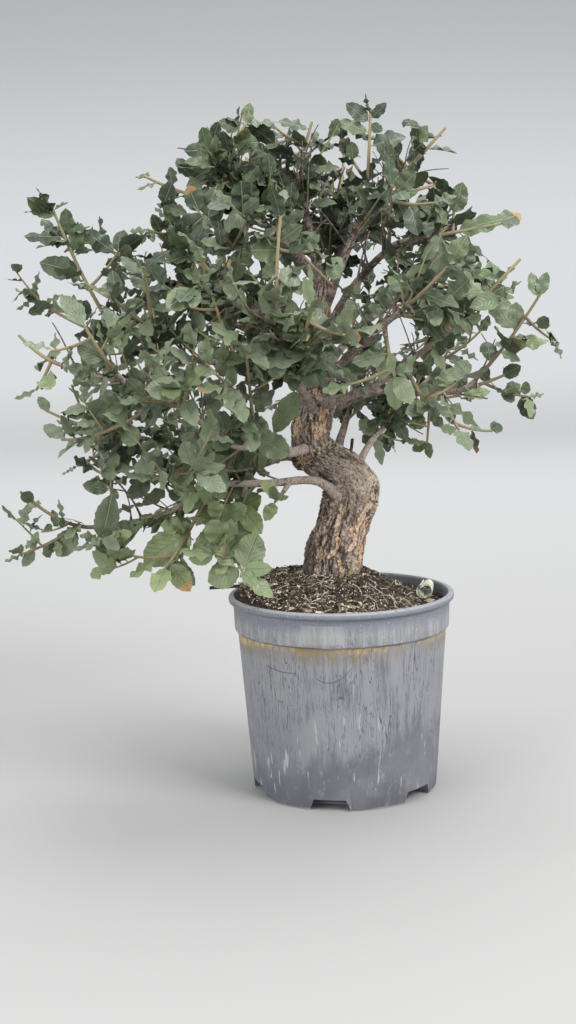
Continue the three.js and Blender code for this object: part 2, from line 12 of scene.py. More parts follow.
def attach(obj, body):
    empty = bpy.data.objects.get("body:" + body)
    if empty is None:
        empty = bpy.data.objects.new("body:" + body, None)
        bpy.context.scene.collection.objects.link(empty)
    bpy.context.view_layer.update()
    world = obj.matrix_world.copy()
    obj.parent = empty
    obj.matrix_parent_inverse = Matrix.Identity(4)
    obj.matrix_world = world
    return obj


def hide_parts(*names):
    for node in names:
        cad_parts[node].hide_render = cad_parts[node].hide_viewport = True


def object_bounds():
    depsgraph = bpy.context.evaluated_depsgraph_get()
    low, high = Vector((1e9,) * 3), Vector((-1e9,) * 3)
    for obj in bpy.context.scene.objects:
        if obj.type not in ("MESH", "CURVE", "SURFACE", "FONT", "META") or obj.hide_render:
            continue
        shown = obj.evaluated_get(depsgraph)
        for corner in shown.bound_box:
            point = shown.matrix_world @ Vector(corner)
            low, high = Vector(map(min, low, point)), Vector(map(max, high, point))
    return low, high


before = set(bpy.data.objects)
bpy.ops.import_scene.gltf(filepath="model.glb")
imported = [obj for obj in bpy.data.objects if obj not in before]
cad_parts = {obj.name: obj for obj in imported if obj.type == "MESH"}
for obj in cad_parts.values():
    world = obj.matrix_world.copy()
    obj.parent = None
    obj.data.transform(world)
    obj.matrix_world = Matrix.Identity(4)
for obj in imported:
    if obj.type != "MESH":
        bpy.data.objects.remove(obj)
CAD_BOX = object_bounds()

logging.basicConfig(level=logging.INFO, format="%(message)s")
log = logging.getLogger("cork_oak")

MM = 0.001
GAP = 0.35

Point = tuple[float, float, float]
Color = tuple[float, float, float]
Array = np.ndarray
Piece = bpy.types.Object
Finish = bpy.types.Material
Socket = bpy.types.NodeSocket


class Slot(Enum):
    """The record's material slots."""

    POT = "pot_plastic"
    SOIL = "potting_mix"
    BARK = "bark"
    FOLIAGE = "foliage"
    STICK = "stick_plastic"
    DRY_LEAF = "dry_leaf"


TRUNK: list[tuple[float, float, float, float]] = [
    (-10, 0, 118, 9), (-9, 0, 152, 17), (-8, 0, 184, 25), (-6, 0, 202, 24.5), (-1, 0, 224, 23.5),
    (5, 0, 242, 23), (9, 0, 258, 23.5), (9, 0, 271, 23), (3, 0, 282, 20), (-9, 0, 291, 17.5),
    (-19, 0, 300, 17.5), (-23, 0, 313, 16.5), (-21, 0, 329, 17.5), (-17, 1, 344, 15.5),
    (-13, 2, 362, 12), (-10, 3, 388, 9.5), (-11, 4, 420, 7.5), (-12, 4, 456, 5.5),
]


@dataclass(frozen=True)
class Limb:
    """A limb: its radius at both ends, how grey its bark is, and the points on its way, in mm."""

    thick: float
    thin: float
    grey: float
    points: tuple[Point, ...]


LIMBS: dict[str, Limb] = {
    "left_low": Limb(5, 1.9, 1.0, ((0, -14, 262), (-11, -19, 272), (-26, -22, 278), (-60, -30, 277),
                                   (-100, -40, 278), (-124, -45, 268), (-161, -45, 252), (-208, -40, 245))),
    "left_mid": Limb(4.6, 1.8, 0.5, ((-14, 0, 291), (-45, 6, 296), (-80, 16, 288), (-125, 22, 297),
                                     (-166, 18, 313), (-203, 8, 322))),
    "left_front": Limb(5, 1.8, 0.8, ((-19, -6, 306), (-42, -26, 303), (-66, -64, 314), (-88, -98, 318),
                                     (-116, -114, 342), (-148, -114, 363), (-184, -105, 374),
                                     (-224, -90, 385))),
    "left_up": Limb(4.4, 1.8, 0.2, ((-17, 1, 344), (-42, 2, 364), (-78, 8, 376), (-120, 20, 382),
                                    (-164, 30, 390), (-192, 32, 404), (-205, 30, 428))),
    "left_back": Limb(4.2, 1.8, 0.3, ((-11, 4, 385), (-48, 38, 412), (-93, 68, 433), (-139, 88, 448),
                                      (-176, 95, 468))),
    "top_left": Limb(4.2, 1.9, 0.2, ((-12, 4, 446), (-38, -20, 478), (-64, -34, 502), (-83, -40, 524),
                                     (-92, -43, 548))),
    "top_mid": Limb(4.2, 1.9, 0.1, ((-12, 4, 452), (-20, 12, 496), (-26, 16, 530), (-22, 16, 558))),
    "top_right": Limb(4.4, 1.9, 0.2, ((-11, 4, 420), (10, 2, 468), (28, 0, 505), (50, -5, 525),
                                      (70, -10, 545))),
    "right_up": Limb(4.2, 1.9, 0.2, ((-10, 3, 396), (12, -26, 438), (46, -45, 473), (68, -50, 479),
                                     (86, -50, 482))),
    "right_front": Limb(4.2, 2, 0.3, ((-13, -6, 362), (6, -56, 382), (34, -102, 409), (54, -124, 426))),
    "right_long": Limb(4.4, 1.9, 0.4, ((-18, 0, 340), (18, -44, 354), (42, -64, 368), (79, -80, 396),
                                       (108, -86, 422))),
    "right_low": Limb(4.6, 2, 0.1, ((-19, 2, 332), (34, 20, 350), (69, 28, 348), (103, 30, 347),
                                    (126, 25, 353))),
    "right_root": Limb(3.3, 2.1, 0.9, ((10, 8, 272), (28, 20, 302), (40, 32, 314), (58, 50, 324),
                                       (80, 66, 333))),
    "back_shoulder": Limb(4.4, 1.9, 0.2, ((-4, 12, 288), (8, 44, 318), (17, 74, 338), (28, 100, 360))),
    "back_left": Limb(4.4, 1.9, 0.4, ((-15, 4, 352), (-39, 58, 378), (-70, 108, 400), (-98, 138, 414))),
    "back_right": Limb(4.2, 1.9, 0.4, ((-12, 4, 368), (20, 58, 402), (54, 106, 424), (80, 132, 442))),
    "back_up": Limb(4, 1.9, 0.3, ((-11, 4, 418), (-2, 48, 474), (8, 82, 514))),
    "front_mid": Limb(4, 1.9, 0.4, ((-20, -8, 336), (-32, -66, 362), (-41, -112, 385), (-46, -132, 404))),
}


@dataclass(frozen=True)
class Spray:
    """A leafy spray: its limb and place along it, tip, leaf length, bare cut end and side shoots, in mm."""

    limb: str
    at: float
    tip: Point
    leaf: float
    bare: float = 0
    forks: tuple[tuple[float, Point], ...] = ()


SPRAYS: dict[str, Spray] = {
    "left_crest": Spray("left_up", 1, (-245, 30, 520), 30, 0, ((0.3, (-190, 58, 482)),)),
    "left_wing": Spray("left_up", 0.8, (-270, 40, 443), 24, 0, ((0.5, (-226, 16, 428)),)),
    "left_rise": Spray("left_up", 0.62, (-162, -20, 464), 27, 0, ((0.4, (-186, -42, 438)),)),
    "left_inner": Spray("left_up", 0.36, (-106, -14, 442), 27, 0, ((0.5, (-130, 10, 430)),)),
    "far_left": Spray("left_back", 1, (-241, 95, 502), 26, 0, ((0.5, (-196, 112, 480)),)),
    "left_back_rise": Spray("left_back", 0.7, (-146, 108, 510), 25, 0, ((0.5, (-166, 78, 500)),)),
    "left_back_drop": Spray("left_back", 0.85, (-190, 150, 426), 27),
    "front_left_tip": Spray("left_front", 1, (-262, -70, 410), 28, 32, ((0.3, (-246, -96, 366)),)),
    "front_left_over": Spray("left_front", 0.8, (-200, -135, 418), 33, 0, ((0.5, (-228, -125, 398)),)),
    "front_left_low": Spray("left_front", 0.7, (-198, -128, 330), 30, 0, ((0.5, (-226, -104, 326)),)),
    "front_left_face": Spray("left_front", 0.55, (-142, -162, 388), 33, 0, ((0.45, (-120, -156, 366)),)),
    "front_left_drop": Spray("left_front", 0.45, (-152, -128, 294), 36, 0, ((0.6, (-118, -132, 300)),)),
    "front_centre": Spray("left_front", 0.36, (-74, -152, 398), 33, 0, ((0.6, (-104, -162, 386)),)),
    "mid_left_tip": Spray("left_mid", 1, (-254, 0, 343), 24, 0, ((0.3, (-226, -32, 366)),)),
    "mid_left_drop": Spray("left_mid", 0.85, (-232, 20, 292), 28, 0, ((0.5, (-202, -22, 288)),)),
    "mid_left_back": Spray("left_mid", 0.66, (-190, 82, 345), 27, 0, ((0.5, (-214, 58, 330)),)),
    "mid_left_low": Spray("left_mid", 0.5, (-162, -14, 280), 30, 0, ((0.5, (-150, 34, 262)),)),
    "mid_left_in": Spray("left_mid", 0.3, (-106, -72, 296), 33, 0, ((0.6, (-84, -58, 322)),)),
    "low_left_tip": Spray("left_low", 1, (-273, -40, 277), 23, 10, ((0.3, (-275, -50, 224)),)),
    "low_left_hang": Spray("left_low", 0.88, (-206, -60, 231), 30, 0, ((0.3, (-196, -34, 284)),)),
    "low_cluster": Spray("left_low", 0.7, (-150, -72, 212), 37, 0, ((0.5, (-176, -62, 222)),)),
    "low_centre": Spray("left_low", 0.62, (-84, -78, 208), 37, 0, ((0.5, (-106, -84, 226)),)),
    "low_pale": Spray("left_low", 0.5, (-92, -14, 246), 34, 0, ((0.5, (-122, -8, 258)),)),
    "low_inner": Spray("left_low", 0.4, (-56, -48, 263), 25),
    "top_left_cut": Spray("top_left", 1, (-103, -45, 575), 30, 22, ((0.3, (-70, -32, 579)),)),
    "top_left_side": Spray("top_left", 0.7, (-160, 0, 541), 24, 0, ((0.5, (-142, -44, 512)),)),
    "top_left_face": Spray("top_left", 0.35, (-92, -128, 474), 31, 0, ((0.5, (-66, -126, 508)),)),
    "crown_face": Spray("front_mid", 1, (-44, -150, 500), 33, 0, ((0.5, (-20, -134, 470)),)),
    "crown_left": Spray("front_mid", 0.75, (-114, -122, 474), 31, 0, ((0.5, (-112, -152, 444)),)),
    "crown_front": Spray("front_mid", 0.6, (-22, -174, 428), 33, 0, ((0.5, (4, -152, 404)),)),
    "top_cut": Spray("top_mid", 1, (-15, 15, 584), 24, 22, ((0.3, (-46, 2, 578)),)),
    "top_back": Spray("top_mid", 0.6, (-56, 58, 562), 26, 0, ((0.5, (-12, 66, 574)),)),
    "top_peak": Spray("top_right", 0.55, (36, 20, 594), 25, 0, ((0.45, (10, 34, 572)),)),
    "top_right_cut": Spray("top_right", 1, (97, -10, 573), 26, 18, ((0.3, (70, 16, 580)),)),
    "top_right_back": Spray("top_right", 0.72, (102, 50, 535), 26, 14, ((0.5, (62, 58, 556)),)),
    "right_face": Spray("right_up", 0.5, (46, -78, 522), 30, 0, ((0.5, (78, -88, 506)),)),
    "right_crest": Spray("right_up", 1, (137, -50, 490), 32, 0, ((0.3, (101, -32, 510)),)),
    "right_front_tip": Spray("right_front", 1, (84, -148, 456), 32, 0, ((0.4, (98, -122, 432)),)),
    "right_front_low": Spray("right_front", 0.6, (40, -152, 372), 34, 0, ((0.5, (2, -142, 366)),)),
    "long_tip": Spray("right_long", 1, (148, -85, 460), 30, 16, ((0.3, (128, -112, 430)),)),
    "long_mid": Spray("right_long", 0.75, (104, -66, 452), 30, 0, ((0.5, (72, -98, 444)),)),
    "long_low": Spray("right_long", 0.5, (70, -102, 346), 32, 0, ((0.5, (96, -84, 362)),)),
    "right_rise": Spray("right_low", 0.9, (180, 0, 434), 30, 0, ((0.5, (188, -8, 392)),)),
    "right_low_cut": Spray("right_low", 1, (152, 25, 362), 25, 12, ((0.3, (172, 12, 342)),)),
    "right_hang": Spray("right_low", 0.66, (104, -20, 318), 31, 0, ((0.5, (136, 2, 314)),)),
    "right_back": Spray("right_low", 0.5, (110, 96, 384), 28, 0, ((0.5, (136, 72, 400)),)),
    "root_tip": Spray("right_root", 1, (118, 88, 340), 26, 0, ((0.4, (84, 58, 300)),)),
    "back_shoulder": Spray("back_shoulder", 1, (58, 150, 376), 28, 0, ((0.5, (14, 150, 392)),)),
    "back_low": Spray("back_shoulder", 0.6, (-18, 128, 348), 28),
    "back_left_tip": Spray("back_left", 1, (-146, 172, 442), 28, 0, ((0.5, (-98, 180, 462)),)),
    "back_left_low": Spray("back_left", 0.62, (-124, 146, 360), 28, 0, ((0.5, (-72, 160, 372)),)),
    "back_right_tip": Spray("back_right", 1, (126, 160, 478), 28, 0, ((0.5, (86, 172, 486)),)),
    "back_right_low": Spray("back_right", 0.66, (124, 138, 398), 28, 0, ((0.5, (84, 158, 388)),)),
    "back_top": Spray("back_up", 1, (16, 112, 566), 26, 0, ((0.5, (-34, 122, 542)),)),
    "back_mid": Spray("back_up", 0.55, (68, 118, 516), 27, 0, ((0.5, (36, 136, 494)),)),
}
# Sprays low on the left whose leaves are young and yellow-green.
PALE_SPRAYS = {"low_pale": 0.95, "low_cluster": 0.6, "low_centre": 0.35, "low_inner": 0.6, "root_tip": 0.5}

# Leaves that draw the crown's outline, for each spray or limb. Each row says where the leaf starts and ends,
# across and up in mm, how far it faces the viewer, its width against the usual, and 1 if its tip is brown.
OUTLINE: dict[str, tuple[tuple[float, ...], ...]] = {
    "left_crest": ((-245, 510, -265, 527, 0.9, 1), (-244, 515, -230, 523, 0.3, 0.9),
        (-241, 503, -232, 511, 0.9, 1.5), (-238, 492, -270, 496, 0.5, 0.9),
        (-238, 497, -212, 504, 0.35, 0.9), (-230, 478, -210, 483, 0.4, 0.9),
        (-226, 459, -258, 473, 0.9, 1), (-195, 480, -221, 500, 0.7, 0.9)),
    "far_left": ((-194, 479, -189, 501, 1, 1.35),),
    "left_wing": ((-262, 436, -275, 448, 0.9, 1), (-257, 436, -240, 444, 0.3, 0.8),
        (-256, 432, -271, 428, 0.7, 1.2), (-256, 432, -240, 430, 0.6, 1), (-225, 420, -219, 438, 1, 1.3)),
    "top_left_cut": ((-67, 565, -93, 581, 0.8, 1.2), (-69, 577, -87, 585, 0.3, 1),
        (-68, 575, -43, 583, 0.3, 0.8), (-99, 555, -122, 557, 0.8, 1.2), (-70, 547, -61, 563, 1, 1.3),
        (-98, 565, -93, 579, 0.9, 1.2)),
    "top_cut": ((-20, 578, -43, 588, 0.5, 0.9), (-40, 566, -63, 572, 0.5, 0.9)),
    "top_peak": ((35, 581, 15, 599, 0.9, 1.1), (35, 586, 49, 598, 0.8, 1), (34, 573, 8, 586, 0.6, 1),
        (36, 582, 45, 574, 0.8, 1.2), (37, 562, 65, 571, 0.5, 1.1), (25, 556, 8, 567, 0.7, 1.1),
        (24, 553, 19, 567, 0.8, 1.2)),
    "top_right_cut": ((87, 567, 67, 581, 0.5, 0.8), (77, 550, 69, 567, 0.6, 1.1)),
    "right_crest": ((97, 499, 108, 526, 1, 1), (99, 484, 141, 497, 0.7, 0.75)),
    "long_tip": ((113, 452, 94, 471, 0.4, 0.7), (116, 437, 118, 454, 0.9, 1.35),
        (108, 424, 135, 440, 0.8, 1.1)),
    "right_rise": ((153, 405, 142, 430, 1, 1.2), (178, 429, 172, 451, 0.7, 1),
        (149, 391, 188, 393, 0.6, 0.75), (149, 379, 164, 374, 0.7, 1), (155, 400, 159, 425, 1, 1.1)),
    "right_low_cut": ((166, 340, 168, 356, 1, 1.3), (162, 338, 174, 323, 0.9, 1.1),
        (160, 343, 145, 345, 1, 1.6), (144, 370, 164, 370, 0.7, 1.1)),
    "right_hang": ((88, 334, 104, 319, 0.8, 1), (115, 347, 129, 317, 0.4, 0.8),
        (120, 337, 128, 316, 0.5, 0.8)),
    "low_left_hang": ((-211, 244, -193, 275, 0.8, 0.8), (-193, 239, -208, 212, 0.9, 1),
        (-168, 249, -176, 237, 1, 1.5), (-207, 276, -220, 282, 0.9, 1.1), (-202, 278, -190, 269, 0.9, 1)),
    "low_left_tip": ((-227, 238, -245, 222, 0.7, 1), (-259, 225, -274, 213, 0.7, 1),
        (-267, 228, -258, 244, 0.5, 0.9), (-225, 241, -241, 220, 0.8, 1.2)),
    "low_centre": ((-84, 216, -106, 236, 0.8, 1.2), (-82, 214, -115, 200, 0.9, 1.3),
        (-78, 213, -71, 241, 1, 1.35), (-77, 214, -58, 189, 0.6, 0.75)),
    "low_cluster": ((-123, 241, -153, 220, 1, 1.2), (-142, 245, -170, 215, 0.9, 1.2),
        (-145, 217, -129, 192, 0.9, 1.2, 1)),
    "low_pale": ((-98, 249, -125, 248, 1, 1.3), (-94, 241, -80, 224, 1, 1.5),
        (-76, 254, -68, 232, 0.9, 1.2), (-94, 251, -68, 265, 0.8, 1.3)),
    "low_inner": ((-62, 274, -44, 267, 0.8, 0.9),),
    "front_centre": ((-70, 386, -99, 391, 0.7, 1), (-70, 386, -76, 402, 0.9, 1.2),
        (-70, 386, -53, 408, 0.8, 1), (-70, 386, -28, 390, 0.6, 0.8), (-71, 322, -42, 306, 0.95, 1.4)),
    "crown_face": ((-41, 466, -68, 472, 0.9, 1.3), (-41, 464, -27, 475, 0.8, 1.1),
        (-41, 460, -60, 450, 0.9, 1.2), (-41, 476, -28, 489, 0.8, 1), (-41, 455, -30, 445, 0.7, 1.1)),
    "left_back_rise": ((-131, 490, -114, 514, 1, 1.3), (-133, 494, -141, 515, 0.9, 1.2),
        (-127, 490, -107, 498, 0.9, 1.2), (-150, 463, -146, 482, 0.8, 0.9)),
    "left_up": ((-41, 346, -58, 324, 0.8, 0.6),),
    "front_mid": ((-42, 354, -56, 323, 0.7, 0.6),),
    "front_left_over": ((-198, 381, -207, 403, 0.9, 1.2),),
    "left_front": ((-200, 375, -219, 385, 0.8, 1), (-195, 375, -206, 397, 0.9, 1.1),
        (-189, 373, -213, 375, 0.8, 0.9)),
    "mid_left_low": ((-163, 276, -182, 281, 0.9, 1.2), (-165, 274, -185, 267, 0.9, 1.1),
        (-156, 267, -140, 258, 0.9, 1.1)),
    "root_tip": ((127, 340, 147, 344, 0.7, 0.8), (91, 327, 100, 313, 0.8, 1.1)),
    "right_root": ((45, 314, 23, 304, 0.8, 1.3), (38, 307, 41, 283, 0.5, 0.8),
        (35, 310, 21, 325, 0.8, 1.1), (57, 319, 65, 305, 0.8, 1.2)),
    "top_back": ((1, 551, -6, 567, 0.8, 1.2),),
}

# Ends of the leafy shoots that fill the inside of the crown, for each limb.
FILLS: dict[str, tuple[Point, ...]] = {
    "left_back": ((-128, 50, 500), (-118, 60, 492), (-140, 50, 474), (-124, 80, 484)),
    "top_left": ((-60, 10, 470), (-52, 20, 462), (-40, 30, 468)),
    "top_mid": ((-50, 40, 480), (-36, 60, 466), (-58, 50, 472), (-44, 30, 456)),
    "back_up": ((-44, 70, 470), (-30, 90, 480)),
    "right_root": ((48, 60, 306), (36, 50, 318)),
}


# Blender's vector noise draws its offsets anew in each run unless it has a seed.
NOISE_SEED = 7


def smooth(value: float, low: float, high: float) -> float:
    """Smooth step of a value from 0 at low to 1 at high."""
    share = min(max((value - low) / (high - low), 0.0), 1.0)
    return share * share * (3 - 2 * share)


def lerp(low: float, high: float, share: float) -> float:
    """Value at a share of the way from low to high."""
    return low + (high - low) * share


def unit(vector: Array) -> Array:
    """The vector at length 1."""
    return vector / np.linalg.norm(vector)


class Draws:
    """Repeatable draws from 0 to 1, the same row of numbers that the solid leaves were placed with."""

    def __init__(self, seed: int) -> None:
        """Starts the draws from a seed."""
        self.state = seed

    def __call__(self) -> float:
        """The next draw."""
        self.state = (self.state * 1664525 + 1013904223) % 4294967296
        return self.state / 4294967296

    def between(self, low: float, high: float) -> float:
        """A draw between two values."""
        return lerp(low, high, self())


class Curve:
    """A smooth curve with a parameter from 0 to 1."""

    steps: int = 200

    def point(self, place: float) -> Array:
        """Point at a place from 0 to 1."""
        raise NotImplementedError

    def tangent(self, place: float) -> Array:
        """Unit direction at a place from 0 to 1."""
        low, high = max(place - 1e-4, 0.0), min(place + 1e-4, 1.0)
        return unit(self.point(high) - self.point(low))

    def length(self) -> float:
        """Length of the whole curve."""
        points = np.array([self.point(i / self.steps) for i in range(self.steps + 1)])
        return float(np.linalg.norm(np.diff(points, axis=0), axis=1).sum())


class Through(Curve):
    """A curve that passes through its points."""

    def __init__(self, points: Sequence[Sequence[float]]) -> None:
        """Takes the points in mm."""
        self.points = [np.array(p[:3], float) for p in points]

    def point(self, place: float) -> Array:
        """Point at a place from 0 to 1."""
        last = len(self.points) - 1
        below = min(int(place * last), last - 1)
        share = place * last - below
        a, b = self.points[below], self.points[below + 1]
        before = self.points[below - 1] if below > 0 else 2 * a - b
        after = self.points[below + 2] if below + 2 <= last else 2 * b - a
        start, end = (b - before) / 2, (after - a) / 2
        square, cube = share * share, share ** 3
        return (a + start * share + (3 * (b - a) - 2 * start - end) * square
                + (2 * (a - b) + start + end) * cube)


class Bow(Curve):
    """A curve between two points that is pulled towards a third."""

    def __init__(self, start: Array, knee: Array, end: Array) -> None:
        """Takes the start, the bend and the end in mm."""
        self.start, self.knee, self.end = start, knee, end

    def point(self, place: float) -> Array:
        """Point at a place from 0 to 1."""
        rest = 1 - place
        return rest * rest * self.start + 2 * rest * place * self.knee + place * place * self.end


@dataclass
class Station:
    """A point on a stem and the directions round it."""

    at: Array
    along: Array
    side: Array
    cross: Array


class Stem:
    """A row of stations along a stretch of a curve."""

    def __init__(self, curve: Curve, start: float, end: float, segments: int) -> None:
        """Takes stations on a part of a curve."""
        self.curve, self.start, self.end = curve, start, end
        self.stations: list[Station] = []
        side = None
        for i in range(segments + 1):
            place = lerp(start, end, i / segments)
            at, along = curve.point(place), curve.tangent(place)
            if side is None:
                side = np.array((1.0, 0, 0)) if abs(along[1]) > 0.8 else np.array((0, 1.0, 0))
            side = unit(side - along * side.dot(along))
            self.stations.append(Station(at, along, side, np.cross(along, side)))
        steps = [np.linalg.norm(b.at - a.at) for a, b in zip(self.stations, self.stations[1:])]
        self.length = float(sum(steps))

    def station(self, place: float) -> Station:
        """The point and directions at a place from 0 to 1, straight between two stations."""
        last = len(self.stations) - 1
        below = min(int(place * last), last - 1)
        share = place * last - below
        a, b = self.stations[below], self.stations[below + 1]
        return Station(lerp(a.at, b.at, share), unit(lerp(a.along, b.along, share)),
                       lerp(a.side, b.side, share), lerp(a.cross, b.cross, share))

    def midway(self, place: float) -> float:
        """The place midway between the two stations round another place."""
        last = len(self.stations) - 1
        return (math.floor(place * last) + 0.5) / last

    def finer(self, spacing: float) -> "Stem":
        """The same stretch of curve with a station for each spacing in mm."""
        return Stem(self.curve, self.start, self.end, max(3, round(self.length / spacing)))


class Growth:
    """The skeleton of the tree: every limb and every shoot, as they are in the solids."""

    limb_segment: float = 33
    woody: float = 12
    sag: float = 0.1
    segment: float = 46

    def __init__(self) -> None:
        """Grows every limb of the table."""
        self.limbs: dict[str, Stem] = {}
        for name, limb in LIMBS.items():
            curve = Through(limb.points)
            self.limbs[name] = Stem(curve, 0, 1, round(curve.length() / self.limb_segment))

    def shoot(self, start: Array, end: Array, onward: Array | None = None) -> Bow:
        """Curve of a shoot, which sags between its ends unless it carries straight on from a limb.

        Args:
            start: its start in mm.
            end: its end in mm.
            onward: whether it carries on from a limb.

        Returns:
            The curve.
        """
        reach = float(np.linalg.norm(end - start))
        if onward is not None:
            return Bow(start, start + onward * 0.4 * reach, end)
        knee = (start + end) / 2
        knee[2] -= self.sag * reach
        return Bow(start, knee, end)

    def main_curve(self, spray: Spray) -> Bow:
        """Curve of a spray's main shoot."""
        limb, tip = self.limbs[spray.limb], np.array(spray.tip, float)
        if spray.at < 1:
            return self.shoot(limb.station(limb.midway(spray.at)).at, tip)
        end = limb.station(1)
        return self.shoot(end.at + end.along * GAP, tip, end.along)

    def stems(self, spray: Spray) -> list[Stem]:
        """The green stems of a spray: its main shoot beyond the woody foot, then its side shoots."""
        curve = self.main_curve(spray)
        start = (self.woody + GAP) / curve.length() if spray.at < 1 else 0.0
        main = Stem(curve, start, 1, max(2, round(curve.length() / self.segment)))
        forks = [Stem(self.shoot(main.station(main.midway(place)).at, np.array(end, float)), 0, 1, 2)
                 for place, end in spray.forks]
        return [main, *forks]


@dataclass
class LeafSite:
    """Where a leaf stands on its stem, and how it is bent."""

    stem: Stem
    place: float
    turn: float
    lean: float
    length: float
    roll: float
    arch: float
    fold: float
    wave: float

    def frame(self, attempt: int) -> tuple[Array, Array]:
        """The leaf's directions, along, across and up, as rows, and the point where it leaves the stem.

        Args:
            attempt: how many faces round the twig the leaf was moved on.

        Returns:
            The three directions and the point, in mm.
        """
        station = self.stem.station(self.place)
        turn, lean = math.radians(self.turn + 120 * attempt), math.radians(self.lean)
        out = station.side * math.cos(turn) + station.cross * math.sin(turn)
        axis = station.along * math.cos(lean) + out * math.sin(lean)
        axis[2] += 0.12
        axis = unit(axis)
        up = station.along * 0.6 + np.array((0, -0.25, 0.8))
        up = unit(up - axis * up.dot(axis))
        across = np.cross(up, axis)
        roll = math.radians(self.roll)
        turned = across * math.cos(roll) + up * math.sin(roll)
        return np.array((axis, turned, np.cross(axis, turned))), station.at

    def tip(self, attempt: int) -> Array:
        """The leaf's furthest point on a given attempt, in mm."""
        rows, at = self.frame(attempt)
        length = self.length * 0.93 ** attempt
        return at + rows[0] * length - rows[2] * self.arch * length


@dataclass
class AimedLeaf:
    """A leaf that is set between two points, turned to the viewer or to the sky."""

    start: Array
    end: Array
    face: float
    arch: float
    fold: float
    wave: float

    @property
    def length(self) -> float:
        """Its length in mm."""
        return float(np.linalg.norm(self.end - self.start))

    def frame(self, attempt: int) -> tuple[Array, Array]:
        """The leaf's directions and its start.

        Args:
            attempt: not used, since this leaf is never moved round a twig.

        Returns:
            The directions along, across and up, as rows, and the start in mm.
        """
        axis = unit(self.end - self.start)
        up = np.array((0.0, -1.0, 0.15)) * self.face + np.array((0.25, 0.0, 1.0)) * (1 - self.face)
        up = unit(up - axis * up.dot(axis))
        return np.array((axis, np.cross(up, axis), up)), self.start


def solid_sites(stem: Stem, size: float, bare: float, start: float, draw: Draws) -> list[LeafSite]:
    """The leaves that the solids hold on one stem, by the same rule and draws.

    Args:
        stem: the stem.
        size: the usual length of a leaf in mm.
        bare: the length in mm left bare at the end.
        start: where the first leaf may stand, from 0 to 1.
        draw: the draws.

    Returns:
        The places of the leaves.
    """
    pitch, sides = 20, 3
    end = 1 - bare / stem.length
    count = max(2, math.floor((end - start) * stem.length / pitch + 0.5))
    first = math.floor(sides * draw())
    sites = []
    for i in range(count):
        turn, lean, roll = draw.between(-12, 12), draw.between(48, 74), draw.between(-25, 25)
        length, arch = size * draw.between(0.74, 1.14), draw.between(-0.06, 0.28)
        fold, wave = draw.between(-0.28, 0.22), draw.between(0.5, 1.5)
        place = start + (end - start) * (i + 0.6) / count
        if i == count - 1 and bare == 0:
            place, lean, length = 0.94, 26, 0.85 * length
        turn += 30 + 120 * (first + i)
        sites.append(LeafSite(stem, place, turn, lean, length, roll, arch, fold, wave))
    return sites


class MeshPile:
    """Gathers many small shapes into one mesh, with a UV map and named attributes."""

    def __init__(self, attributes: Sequence[str] = ()) -> None:
        """Starts an empty pile that carries the named attributes."""
        self.spots: list[Array] = []
        self.faces: list[list[int]] = []
        self.finishes: list[int] = []
        self.flat: list[Array] = []
        self.values: dict[str, list[Array]] = {name: [] for name in attributes}
        self.count = 0

    def add(self, spots: Array, faces: Sequence[Sequence[int]], finish: int | Sequence[int] = 0,
            flat: Array | None = None, **values: float | Array) -> None:
        """Adds one shape.

        Args:
            spots: its points in mm, one row each.
            faces: its faces as numbers of its own points.
            finish: its material number, or one for each face.
            flat: its UV map, one row for each point.
            **values: attribute values, one for all points or one each.
        """
        self.spots.append(spots)
        start = self.count
        self.faces.extend([start + i for i in face] for face in faces)
        self.finishes.extend([finish] * len(faces) if isinstance(finish, int) else finish)
        self.flat.append(np.zeros((len(spots), 2)) if flat is None else flat)
        for name, rows in self.values.items():
            rows.append(np.broadcast_to(np.asarray(values.get(name, 0.0), float), len(spots)))
        self.count += len(spots)

    def piece(self, name: str, finishes: Sequence[Finish], angle: float = 50) -> Piece:
        """Makes the object.

        Args:
            name: its name.
            finishes: its materials in order.
            angle: edges sharper than this, in degrees, stay sharp.

        Returns:
            The object, linked to the scene.
        """
        mesh = bpy.data.meshes.new(name)
        mesh.from_pydata((np.concatenate(self.spots) * MM).tolist(), [], self.faces)
        for finish in finishes:
            mesh.materials.append(finish)
        mesh.polygons.foreach_set("material_index", np.array(self.finishes, np.int32))
        corners = np.zeros(len(mesh.loops), np.int32)
        mesh.loops.foreach_get("vertex_index", corners)
        layer = mesh.uv_layers.new(name="UVMap")
        layer.data.foreach_set("uv", np.concatenate(self.flat)[corners].astype(np.float32).ravel())
        for key, rows in self.values.items():
            attribute = mesh.attributes.new(key, "FLOAT", "POINT")
            attribute.data.foreach_set("value", np.concatenate(rows).astype(np.float32))
        mesh.update()
        piece = bpy.data.objects.new(name, mesh)
        bpy.context.scene.collection.objects.link(piece)
        soften(piece, angle)
        return piece


def only(piece: Piece) -> None:
    """Makes a piece the one selected and active object."""
    bpy.ops.object.select_all(action="DESELECT")
    piece.select_set(True)
    bpy.context.view_layer.objects.active = piece


def settle() -> None:
    """Moves the active object's place, turn and scale into its mesh."""
    bpy.ops.object.transform_apply(location=True, rotation=True, scale=True)


def soften(piece: Piece, angle: float) -> None:
    """Shades a piece smooth, apart from edges sharper than an angle in degrees."""
    only(piece)
    bpy.ops.object.shade_smooth_by_angle(angle=math.radians(angle))


def coat(piece: Piece, finish: Finish, angle: float) -> None:
    """Gives a piece its one finish and shades it smooth.

    Args:
        piece: the piece.
        finish: its material.
        angle: edges sharper than this, in degrees, stay sharp.
    """
    piece.data.materials.clear()
    piece.data.materials.append(finish)
    soften(piece, angle)


